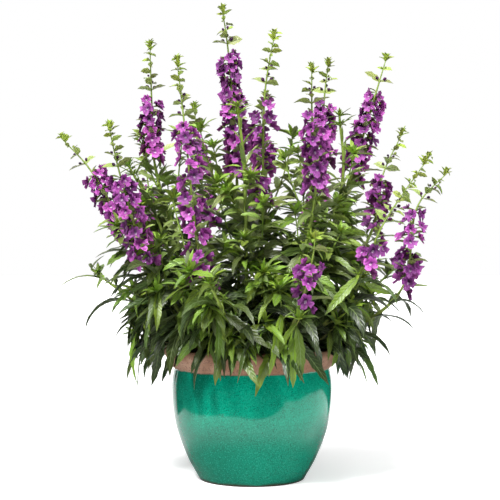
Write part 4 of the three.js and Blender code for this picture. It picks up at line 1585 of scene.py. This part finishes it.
    def rosettes(self, base: np.ndarray, axis: np.ndarray, first: int, count: int, size: float) -> Blades:
        """Stars of bright leaves round shoot ends, the outer ones long and spread, the inner ones small.

        Args:
            base: Where each rosette sits.
            axis: The direction that each rosette faces.
            first: Index of the first leaf, for its numbers.
            count: Leaves in each.
            size: Length of the longest, in mm.

        Returns:
            All their leaves.
        """
        index = self.plant.index
        item = first + np.arange(len(base) * count)
        order = np.tile(np.arange(count), len(base))
        part = order / count
        one, two = across(np.repeat(axis, count, axis=0))
        turn = GOLDEN_ANGLE * order + 2 * np.pi * chance(index, item - order, 15)
        lean = 0.15 + 1.15 * part + 0.2 * spread(index, item, 12)
        out = one * np.cos(turn)[:, None] + two * np.sin(turn)[:, None]
        way = out * np.cos(lean)[:, None] + np.repeat(axis, count, axis=0) * np.sin(lean)[:, None]
        leaves = self.extra(np.repeat(base, count, axis=0), item, np.arctan2(way[:, 1], way[:, 0]), 1 + 0 * turn)
        height = mound_height(leaves.base)
        leaves.length = size * (1 - 0.65 * part) * (1 - 0.25 * height) * (1 + 0.22 * spread(index, item, 11))
        leaves.half_width = 0.115 * leaves.length
        leaves.rise = np.arcsin(np.clip(way[:, 2], -1, 1)) + 0.2
        leaves.bend = 0.55 + 0.25 * spread(index, item, 13)
        leaves.roll = 0.3 * spread(index, item, 4)
        leaves.age = np.clip(1.5 * part - 0.05 + 0.6 * height + 0.15 * spread(index, item, 14), 0, 1)
        return leaves

    def axils(self) -> Blades:
        """Small new growth in the leaves' axils."""
        length = self.course.chord(0, self.end)
        count = max(3, int(length / 30))
        item = np.arange(count)
        base = self.course.at(((item + 0.6) / count) ** 0.95 * self.end)
        turn = GOLDEN_ANGLE * item + self.plant.index
        axis = unit(np.stack([np.cos(turn), np.sin(turn), 0 * turn + 0.8], 1))
        kept = self.kept(base, item + Kind.AXIL)
        return self.rosettes((base + 6 * axis)[kept], axis[kept], Kind.AXIL, 6, 21.0)

    def side_shoots(self, first: int) -> Blades:
        """The side branches whose ends are known, as arcs that curve upwards to them.

        Args:
            first: Index of the first, for its numbers.

        Returns:
            The arcs. Each runs from the stem's line at the given height to the given end.
        """
        rows = [row for row in SIDE_SHOOTS if row[0] == self.plant.index]
        places = np.linspace(0, self.end, 60)
        heights = [row[1] for row in rows]
        base = self.course.at(np.interp(heights, self.course.at(places)[:, 2], places))
        way = np.array([row[2] for row in rows], float).reshape(-1, 3) - base[: len(rows)]
        item = first + np.arange(len(rows)) + Kind.BRANCH
        arcs = self.extra(base[: len(rows)], item, np.arctan2(way[:, 1], way[:, 0]), 1 + 0.0 * item)
        arcs.length = np.linalg.norm(way, axis=1)
        arcs.bend = -0.4 + 0.0 * item
        arcs.rise = np.arcsin(way[:, 2] / np.maximum(arcs.length, 1)) + arcs.bend / 2
        arcs.sway = 0.0 * item
        return arcs

    def branches(self) -> tuple[Blades, Blades]:
        """Side branches: their own lines, as bare arcs, and the leaves on them."""
        index = self.plant.index
        length = self.course.chord(0, self.end)
        count = max(3, int(length / 42))
        item = np.arange(count)
        reach = 0.9 if self.plant.flowers else 0.42 if self.tall else 0.62
        part = 0.04 + reach * ((item + 0.2) / count) ** 1.2
        base = self.course.at(part * self.end)
        turn = GOLDEN_ANGLE * item + 1.7 * index
        height = mound_height(base)
        pull = np.minimum(1, np.hypot(base[:, 0], base[:, 1]) / FULL_PULL_RADIUS) * between((1.25, 0.35), height)
        heading = turn + pull * np.sin(np.arctan2(base[:, 1], base[:, 0]) - turn)
        arcs = self.extra(base, item + Kind.BRANCH, heading, 1 + 0 * turn)
        arcs.rise = between((0.3, 0.95), height) + 0.2 * spread(index, item + Kind.BRANCH, 15)
        arcs.bend = between((-0.25, -0.4), height) + 0.12 * spread(index, item + Kind.BRANCH, 16)
        arcs.length = between((58.0, 74.0), height) * (1 + 0.25 * spread(index, item + Kind.BRANCH, 17))
        later = item / count
        arcs.length = arcs.length + 42 * later**3 if self.plant.flowers else arcs.length * (1 - 0.75 * later)
        arcs.sway = 0 * arcs.sway
        clear = clear_of_pot(arcs.midrib(np.linspace(0.4, 1, 4))[0])
        keep = clear & self.kept(base, item + Kind.BRANCH)
        known = self.side_shoots(count)
        arcs = Blades.join([arcs.pick(keep), known])
        item = np.concatenate([item[keep], count + np.arange(len(known))])
        sets = []
        places = np.array([0.24, 0.4, 0.55, 0.68, 0.8, 0.9, 0.98])
        points = arcs.midrib(places)[0]
        for k, place in enumerate(places):
            for side in range(2):
                leaf = Kind.BRANCH_LEAF + item * 16 + 2 * k + side
                way = arcs.heading + np.pi * side + PAIR_TURN * k + 0.4 * spread(index, leaf, 18)
                way = way + 0.9 * np.sin(arcs.heading - way) + 0.3 * spread(index, leaf, 22)
                leaves = self.extra(points[:, k], leaf, way, (1.0 - 0.42 * place) + 0 * way)
                leaves.age = np.clip(leaves.age + 0.5 * place**3, 0, 1)
                sets.append(leaves)
        sets.append(self.rosettes(*arcs.ends(), Kind.AXIL + 500, 14, 36.0))
        return arcs, Blades.join(sets)

    def top(self) -> Blades:
        """The bright end of a leafy shoot."""
        places = np.array([0.92, 0.995])
        return self.rosettes(self.course.at(places), self.course.along(places), Kind.AXIL + 800, 13, 26.0)


def clear_of_pot(points: np.ndarray) -> np.ndarray:
    """Which leaves keep clear of the pot and inside the frame's box.

    Args:
        points: Points in mm, leaf by vertex.

    Returns:
        True for each leaf that stays outside the rim and the wall, above the soil, and inside both the box and
        the mound's outline, which widens upwards.
    """
    radius = np.hypot(points[..., 0], points[..., 1])
    height = points[..., 2]
    in_pot = (radius < RIM_RADIUS + 2) & (height < RIM_TOP + 2)
    over_soil = (radius < RIM_RADIUS - LIP_WIDTH - 4) & (height > SOIL_CROWN)
    low = np.array(CAD_BOX[0]) / MM - 6
    high = np.array(CAD_BOX[1]) / MM + 6
    inside = ((points > low) & (points < high)).all(axis=-1)
    within = (radius < np.maximum(161, 145 + 0.48 * (height - 140))) | (height > 300)
    return ((~in_pot | over_soil) & inside & within & (height > 60)).all(axis=1)


class GreenPart:
    """A green stem or leafy shoot: the stem, its side branches and all their leaves."""

    LEAF_STATIONS = 10
    LEAF_COLUMNS = 4
    SHORT = 30.0

    def __init__(self, plant: Plant) -> None:
        """Keep the plant."""
        self.plant = plant

    def build(self, finishes: Finishes) -> None:
        """Make the piece."""
        plant = self.plant
        green = Greenery(plant)
        mesh = PieceMesh()
        tube = TubeShape(22, 8, 1)
        places = np.linspace(0, plant.green_end, 20)
        line = green.course.at(places)
        foot = np.array([(*plant.root, SOIL_EDGE - ROOT_DEPTH), (*plant.root, SOIL_EDGE)], float)
        ends = (BASE_RADIUS, LOW_RADIUS if plant.flowers else SHOOT_END_RADIUS)
        radii = np.concatenate([[BASE_RADIUS] * 2, between(ends, np.linspace(0, 1, 20))])
        mesh.add(tube.shape, tube.place(np.vstack([foot, line])[None], radii[None]), tint=0.5)
        arcs, branch_leaves = green.branches()
        twig = TubeShape(6, 5, 1)
        twig_lines = arcs.midrib(np.linspace(0, 1, 6))[0]
        twig_radii = np.broadcast_to(np.linspace(1.3, 0.8, 6), (len(arcs), 6))
        mesh.add(twig.shape, twig.place(twig_lines, twig_radii), tint=arcs.tint[:, None])
        blade = BladeShape(self.LEAF_STATIONS, self.LEAF_COLUMNS, 0)
        main = green.main_leaves()
        extra = [green.fillers(), green.axils(), branch_leaves]
        if not plant.flowers:
            extra.append(green.top())
        more = Blades.join(extra)
        more = more.pick(clear_of_pot(blade.place(more)))
        leaves = Blades.join([main, more])
        short = leaves.length < self.SHORT
        for shape, mask in ((blade, ~short), (BladeShape(6, 2, 0), short)):
            some = leaves.pick(mask)
            mesh.add(shape.shape, shape.place(some), tint=some.tint[:, None], age=some.age[:, None])
        piece = mesh.build(f"{plant.node}_fine", [finishes.leaf, finishes.stem])
        finish_piece(piece, plant.node)
        log.info("%s: %d leaves of the frame, %d more", plant.node, len(main), len(more))


def whorl(course: Course, start: float, end: float, margins: tuple, spacing: float, between_each: int) -> tuple:
    """Places along part of a stem, each turned on from the last by the golden angle.

    Args:
        course: The stem's line.
        start: Place where the stretch starts.
        end: Place where it ends.
        margins: Bare lengths at the two ends, in mm.
        spacing: Distance between the frame's own items, in mm.
        between_each: Items that stand for each of the frame's, which come first of each group.

    Returns:
        Points on the line, its directions, the directions outwards, and each item's part of the row.
    """
    length = course.chord(start, end)
    usable = length - sum(margins)
    count = max(1, int(math.floor(usable / spacing + 0.5))) + 1
    order = np.arange((count - 1) * between_each + 1)
    part = order / order[-1]
    place = between((start, end), (margins[0] + usable * part) / length)
    along = course.along(place)
    first, second = across(along)
    turn = order * (GOLDEN_ANGLE + 2 * np.pi * (between_each // 2)) / between_each
    out = first * np.cos(turn)[:, None] + second * np.sin(turn)[:, None]
    return course.at(place), along, out, part


class Spike:
    """A flower spike: a green stalk with violet flowers all round."""

    FLOWERS_FOR_ONE = 4
    LOOSE = (3, 5, 10, 11, 12)
    FULL = (4, 6, 7, 8)
    SIZE = 10.1
    REACH = 12.2

    def __init__(self, plant: Plant) -> None:
        """Keep the plant."""
        self.plant = plant

    def build(self, finishes: Finishes) -> None:
        """Make the piece."""
        course = self.plant.course
        index = self.plant.index
        mesh = PieceMesh()
        tube = TubeShape(16, 8, 1)
        line = course.at(np.linspace(FLOWERS_FROM, BUDS_FROM, 16))
        radii = STALK_SHARE * between((LOW_RADIUS, TOP_RADIUS), np.linspace(0, 1, 16))
        mesh.add(tube.shape, tube.place(line[None], radii[None]), tint=0.5)
        margins = (FLORET_END_MARGIN, FLORET_END_MARGIN)
        point, along, out, part = whorl(
            course, FLOWERS_FROM, BUDS_FROM, margins, FLORET_SPACING, self.FLOWERS_FOR_ONE
        )
        item = Kind.FLORET + np.arange(len(point))
        side = np.cross(along, out)
        facing = unit(
            out
            + along * (0.08 + 0.45 * spread(index, item, 1))[:, None]
            + side * (0.55 * spread(index, item, 2))[:, None]
        )
        up = unit(along - facing * (along * facing).sum(axis=1, keepdims=True))
        taper = 1 - 0.22 * np.maximum(0, part - 0.6) / 0.4
        size = self.SIZE * taper * (1 + 0.14 * spread(index, item, 3))
        reach = self.REACH * (0.8 + 0.2 * taper) * (1 + 0.25 * spread(index, item, 4))
        bed = FlowerBed(
            root=point,
            centre=point + out * reach[:, None] + along * (2.0 * spread(index, item, 5))[:, None],
            out=facing,
            up=up,
            size=size,
            tint=chance(index, item, 6),
        )
        floret = FloretShape(0, 1)
        own = np.arange(len(point)) % self.FLOWERS_FOR_ONE == 0
        gaps = 0.7 if index in self.LOOSE else 0.0 if index in self.FULL else 0.3
        kept = own | (chance(index, item, 7) > gaps - 0.3 * part)
        flowers = floret.place(bed)[kept]
        mesh.add(floret.shape, flowers, tint=bed.tint[kept, None], reach=floret.reach[None])
        mesh_leaves = self.bracts(point, along, out, part)
        blade = BladeShape(5, 2, 2)
        mesh.add(
            blade.shape,
            blade.place(mesh_leaves),
            tint=mesh_leaves.tint[:, None],
            age=mesh_leaves.age[:, None],
        )
        node = f"spike_{self.plant.number}"
        piece = mesh.build(f"{node}_fine", [finishes.petal, finishes.stem, finishes.bract])
        finish_piece(piece, node)

    def bracts(self, point: np.ndarray, along: np.ndarray, out: np.ndarray, part: np.ndarray) -> Blades:
        """Green leaves among the flowers, long at the foot of the spike and short at its top."""
        pick = np.arange(0, len(point), 2)
        item = Kind.BRACT + 500 + pick
        length = between((38.0, 13.0), part[pick] ** 0.6)
        leaves = small_blades(self.plant.index, item, point[pick], out[pick], along[pick], length)
        leaves.age = 0.5 * leaves.age
        leaves.half_width = 1.2 + 0.1 * leaves.length
        return leaves


def small_blades(
    stem: int, item: np.ndarray, base: np.ndarray, out: np.ndarray, along: np.ndarray, length: np.ndarray
) -> Blades:
    """Small leaves that start in given directions from a stem.

    Args:
        stem: Index of the stem.
        item: Indices of the leaves.
        base: Where they start.
        out: Directions away from the stem.
        along: The stem's directions.
        length: Their lengths in mm.

    Returns:
        The leaves, which rise between the two directions.
    """
    way = unit(0.85 * out + 0.5 * along)
    return Blades(
        base=base,
        heading=np.arctan2(way[:, 1], way[:, 0]),
        rise=np.arcsin(np.clip(way[:, 2], -1, 1)) + 0.25,
        bend=0.75 + 0.4 * spread(stem, item, 1),
        length=length * (1 + 0.12 * spread(stem, item, 2)),
        half_width=length * 0.17,
        roll=0.4 * spread(stem, item, 3),
        sway=0.08 * spread(stem, item, 4),
        twist=0.5 * spread(stem, item, 5),
        fold=0.4 + 0 * length,
        age=np.clip(0.5 + 0.4 * spread(stem, item, 6), 0, 1),
        tint=chance(stem, item, 7),
    )


class Tip:
    """A budding tip: a thin green stalk with pairs of small leaves, each with its bud, and a tuft on top."""

    BARE = 0.45
    GREEN_FROM = 0.35
    TUFT = 9

    def __init__(self, plant: Plant) -> None:
        """Keep the plant."""
        self.plant = plant

    def build(self, finishes: Finishes) -> None:
        """Make the piece."""
        course = self.plant.course
        index = self.plant.index
        mesh = PieceMesh()
        tube = TubeShape(12, 6, 0)
        line = course.at(np.linspace(BUDS_FROM, 1, 12))
        radii = STALK_SHARE * between((TOP_RADIUS, TIP_RADIUS), np.linspace(0, 1, 12))
        mesh.add(tube.shape, tube.place(line[None], radii[None]), tint=0.6)
        point, along, out, part = whorl(course, BUDS_FROM, 1.0, BRACT_MARGINS, BRACT_SPACING, 2)
        purple, green = KnobShape(2, 1.0), KnobShape(1)
        blade = BladeShape(6, 2, 1)
        for side in (1.0, -1.0):
            item = Kind.BRACT + np.arange(len(point)) * 2 + int(side < 0)
            length = between((20.0, 9.0), part**0.8) * (1 + 0.15 * spread(index, item, 8))
            leaves = small_blades(index, item, point, out * side, along, length)
            leaves.half_width = leaves.length * between((0.29, 0.2), part)
            leaves.roll = 1.0 * spread(index, item, 9)
            leaves.fold = 0.22 + 0 * part
            leaves.rise = leaves.rise - 0.25
            leaves.age = np.clip(between((0.3, 1.0), part) + 0.2 * spread(index, item, 6), 0, 1)
            own = (np.arange(len(point)) % 2 == 0) | (chance(index, item, 10) > self.BARE)
            leaves = leaves.pick(own)
            mesh.add(blade.shape, blade.place(leaves), tint=leaves.tint[:, None], age=leaves.age[:, None])
            way = unit(0.7 * out * side + 0.75 * along)
            bud = Kind.BUD + item
            size = between((2.1, 1.0), part) * (1 + 0.2 * spread(index, bud, 1))
            centre = point + way * (between((7.0, 3.0), part) * (1 + 0.2 * spread(index, bud, 2)))[:, None]
            eggs = green.place(centre, way, size, size * 1.3)
            dark = part < self.GREEN_FROM
            tint = chance(index, bud, 3)[:, None]
            mesh.add(purple.shape, eggs[dark & own], tint=tint[dark & own])
            mesh.add(green.shape, eggs[~dark & own], tint=tint[~dark & own], age=0.6)
        tuft = np.arange(self.TUFT)
        turn = GOLDEN_ANGLE * tuft
        out = np.stack([np.cos(turn), np.sin(turn), 0 * turn], 1)
        along = np.tile(UP, (self.TUFT, 1)) * between((1.6, 5.0), tuft / self.TUFT)[:, None]
        base = course.at(between((0.95, 1.0), tuft / self.TUFT))
        item = Kind.BRACT + 300 + tuft
        last = small_blades(index, item, base, out, along, between((13.0, 8.0), tuft / self.TUFT))
        last.half_width = 0.2 * last.length
        last.age = 1.0 + 0 * turn
        mesh.add(blade.shape, blade.place(last), tint=last.tint[:, None], age=last.age[:, None])
        node = f"tip_{self.plant.number}"
        piece = mesh.build(f"{node}_fine", [finishes.stem, finishes.bract, finishes.petal])
        finish_piece(piece, node)


@dataclass(frozen=True)
class SoftLight:
    """A broad, even studio light, by the direction that it comes from."""

    name: str
    azimuth: float
    elevation: float
    strength: float
    breadth: float

    def build(self) -> None:
        """Make the light. Azimuth 0 is the front, and it grows to the right."""
        data = bpy.data.lights.new(self.name, "SUN")
        data.energy = self.strength
        data.angle = math.radians(self.breadth)
        light = bpy.data.objects.new(self.name, data)
        level = math.radians(self.azimuth)
        rise = math.radians(self.elevation)
        place = Vector((math.sin(level) * math.cos(rise), -math.cos(level) * math.cos(rise), math.sin(rise)))
        light.location = place
        light.rotation_euler = place.to_track_quat("Z", "Y").to_euler()
        bpy.context.scene.collection.objects.link(light)


class Studio:
    """The camera, a pale floor and backdrop light, and soft lights."""

    LIGHTS = (
        SoftLight("key_light", -26.0, 56.0, 4.65, 14.0),
        SoftLight("fill_light", 42.0, 60.0, 1.4, 40.0),
    )
    FLOOR_HALF = 12.0
    FLOOR_GLOW = 0.5
    # The part of the floor that the glaze mirrors, in metres: its edge lies a little way before the pot.
    SHEET = (
        ((-0.3, 0.29), (-0.44, 0.12), (-0.37, -0.02), (-0.3, -0.15), (-0.21, -0.26), (-0.08, -0.3))
        + ((0.06, -0.29), (0.14, -0.3), (0.29, -0.35), (0.44, -0.46), (0.6, -0.3), (1.1, -0.12))
        + ((1.6, 0.7), (0.45, 0.42), (0.27, 0.3), (1.0, 2.6), (-1.5, 2.6))
    )
    SHEET_RISE = 0.0002
    PAINTED_SHADE_NEAR_POT = 0.8
    BACKDROP = (1.0, 1.0, 1.0, 1)
    AMBIENT = (0.2, 0.203, 0.208, 1)
    BACKDROP_WAY = (-0.15, 0.99, 0.0)
    MIRRORED_PALE = (1.2, 1.2, 1.2, 1)
    MIRRORED_DARK = (0.02, 0.02, 0.02, 1)

    def camera(self) -> None:
        """Make the camera at the photograph's place."""
        data = bpy.data.cameras.new("camera")
        data.lens = CAMERA_LENS
        data.sensor_width = SENSOR_WIDTH
        camera = bpy.data.objects.new("camera", data)
        camera.location = CAMERA_PLACE
        camera.rotation_euler = (math.pi / 2, 0, 0)
        bpy.context.scene.collection.objects.link(camera)
        bpy.context.scene.camera = camera

    def flat(self, name: str, corners: list, height: float, material: bpy.types.Material) -> bpy.types.Object:
        """A level sheet of the floor's material."""
        mesh = bpy.data.meshes.new(name)
        mesh.from_pydata([(x, y, height) for x, y in corners], [], [tuple(range(len(corners)))])
        mesh.materials.append(material)
        piece = bpy.data.objects.new(name, mesh)
        bpy.context.scene.collection.objects.link(piece)
        return piece

    def floor(self) -> None:
        """Make the floor, and the sheet on it that the glaze mirrors. Near the pot the sheet carries painted
        shade, seen only in the glaze's reflection.
        """
        material, graph, shader = new_material("floor")
        tone = graph.mix(graph.noise(3.0), (0.87, 0.87, 0.865, 1), (0.89, 0.89, 0.885, 1))
        path = graph.node("ShaderNodeLightPath")
        from_axis = graph.node("ShaderNodeVectorMath", operation="LENGTH")
        graph.feed(from_axis.inputs[0], graph.place())
        # Painted shade: near the pot the sheet darkens for glossy rays, so the glaze mirrors a shaded floor there.
        near = graph.smooth(from_axis.outputs["Value"], 0.11, 0.2, self.PAINTED_SHADE_NEAR_POT, 0.0)
        near = graph.math("MULTIPLY", near, path.outputs["Is Glossy Ray"])
        graph.feed(shader.inputs["Base Color"], graph.mix(near, tone, self.MIRRORED_DARK))
        shader.inputs["Roughness"].default_value = 0.8
        seen = path.outputs["Is Camera Ray"]
        glow = graph.math("MULTIPLY", seen, self.FLOOR_GLOW)
        graph.feed(shader.inputs["Emission Color"], graph.mix(glow, (0, 0, 0, 1), (1, 1, 1, 1)))
        shader.inputs["Emission Strength"].default_value = 1.0
        half = self.FLOOR_HALF
        corners = [(-half, -half), (half, -half), (half, half), (-half, half)]
        self.flat("floor", corners, 0.0, material).visible_glossy = False
        sheet = self.flat("floor_sheet", list(self.SHEET), self.SHEET_RISE, material)
        sheet.visible_camera = False
        sheet.visible_diffuse = False
        sheet.visible_shadow = False

    def world(self) -> None:
        """Light the surroundings: pale behind the plant, soft on it, and dark where the glaze mirrors them."""
        world = bpy.data.worlds.new("studio")
        world.use_nodes = True
        bpy.context.scene.world = world
        graph = Graph(world.node_tree)
        background = next(node for node in world.node_tree.nodes if node.type == "BACKGROUND")
        path = graph.node("ShaderNodeLightPath")
        way = graph.node("ShaderNodeTexCoord").outputs["Generated"]
        ahead = graph.node("ShaderNodeVectorMath", operation="DOT_PRODUCT")
        graph.feed(ahead.inputs[0], way)
        ahead.inputs[1].default_value = self.BACKDROP_WAY
        behind = graph.smooth(ahead.outputs["Value"], 0.83, 0.87)
        split = graph.node("ShaderNodeSeparateXYZ")
        graph.feed(split.inputs[0], way)
        above = graph.smooth(split.outputs["Z"], 0.4, 0.6)
        mirrored = graph.mix(graph.math("MAXIMUM", behind, above), self.MIRRORED_DARK, self.MIRRORED_PALE)
        light = graph.mix(path.outputs["Is Glossy Ray"], self.AMBIENT, mirrored)
        graph.feed(background.inputs["Color"], graph.mix(path.outputs["Is Camera Ray"], light, self.BACKDROP))

    def build(self) -> None:
        """Make the rest of the studio."""
        self.floor()
        self.world()
        for light in self.LIGHTS:
            light.build()
        bpy.context.scene.view_settings.view_transform = "Standard"


def write_sizes() -> None:
    """Bring the scene's placements up to date."""
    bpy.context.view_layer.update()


def main() -> None:
    """Build the whole scene."""
    logging.basicConfig(level=logging.INFO, format="%(name)s: %(message)s")
    studio = Studio()
    studio.camera()
    finishes = Finishes()
    Pot().build(finishes)
    Soil().build(finishes)
    rows = [(row[0], row[1:]) for row in (*FLOWERING, *LEAFY)]
    for index, (root, marks) in enumerate(rows):
        plant = Plant(index, root, marks)
        GreenPart(plant).build(finishes)
        if plant.flowers:
            Spike(plant).build(finishes)
            Tip(plant).build(finishes)
    studio.build()
    write_sizes()


if __name__ == "__main__":
    main()
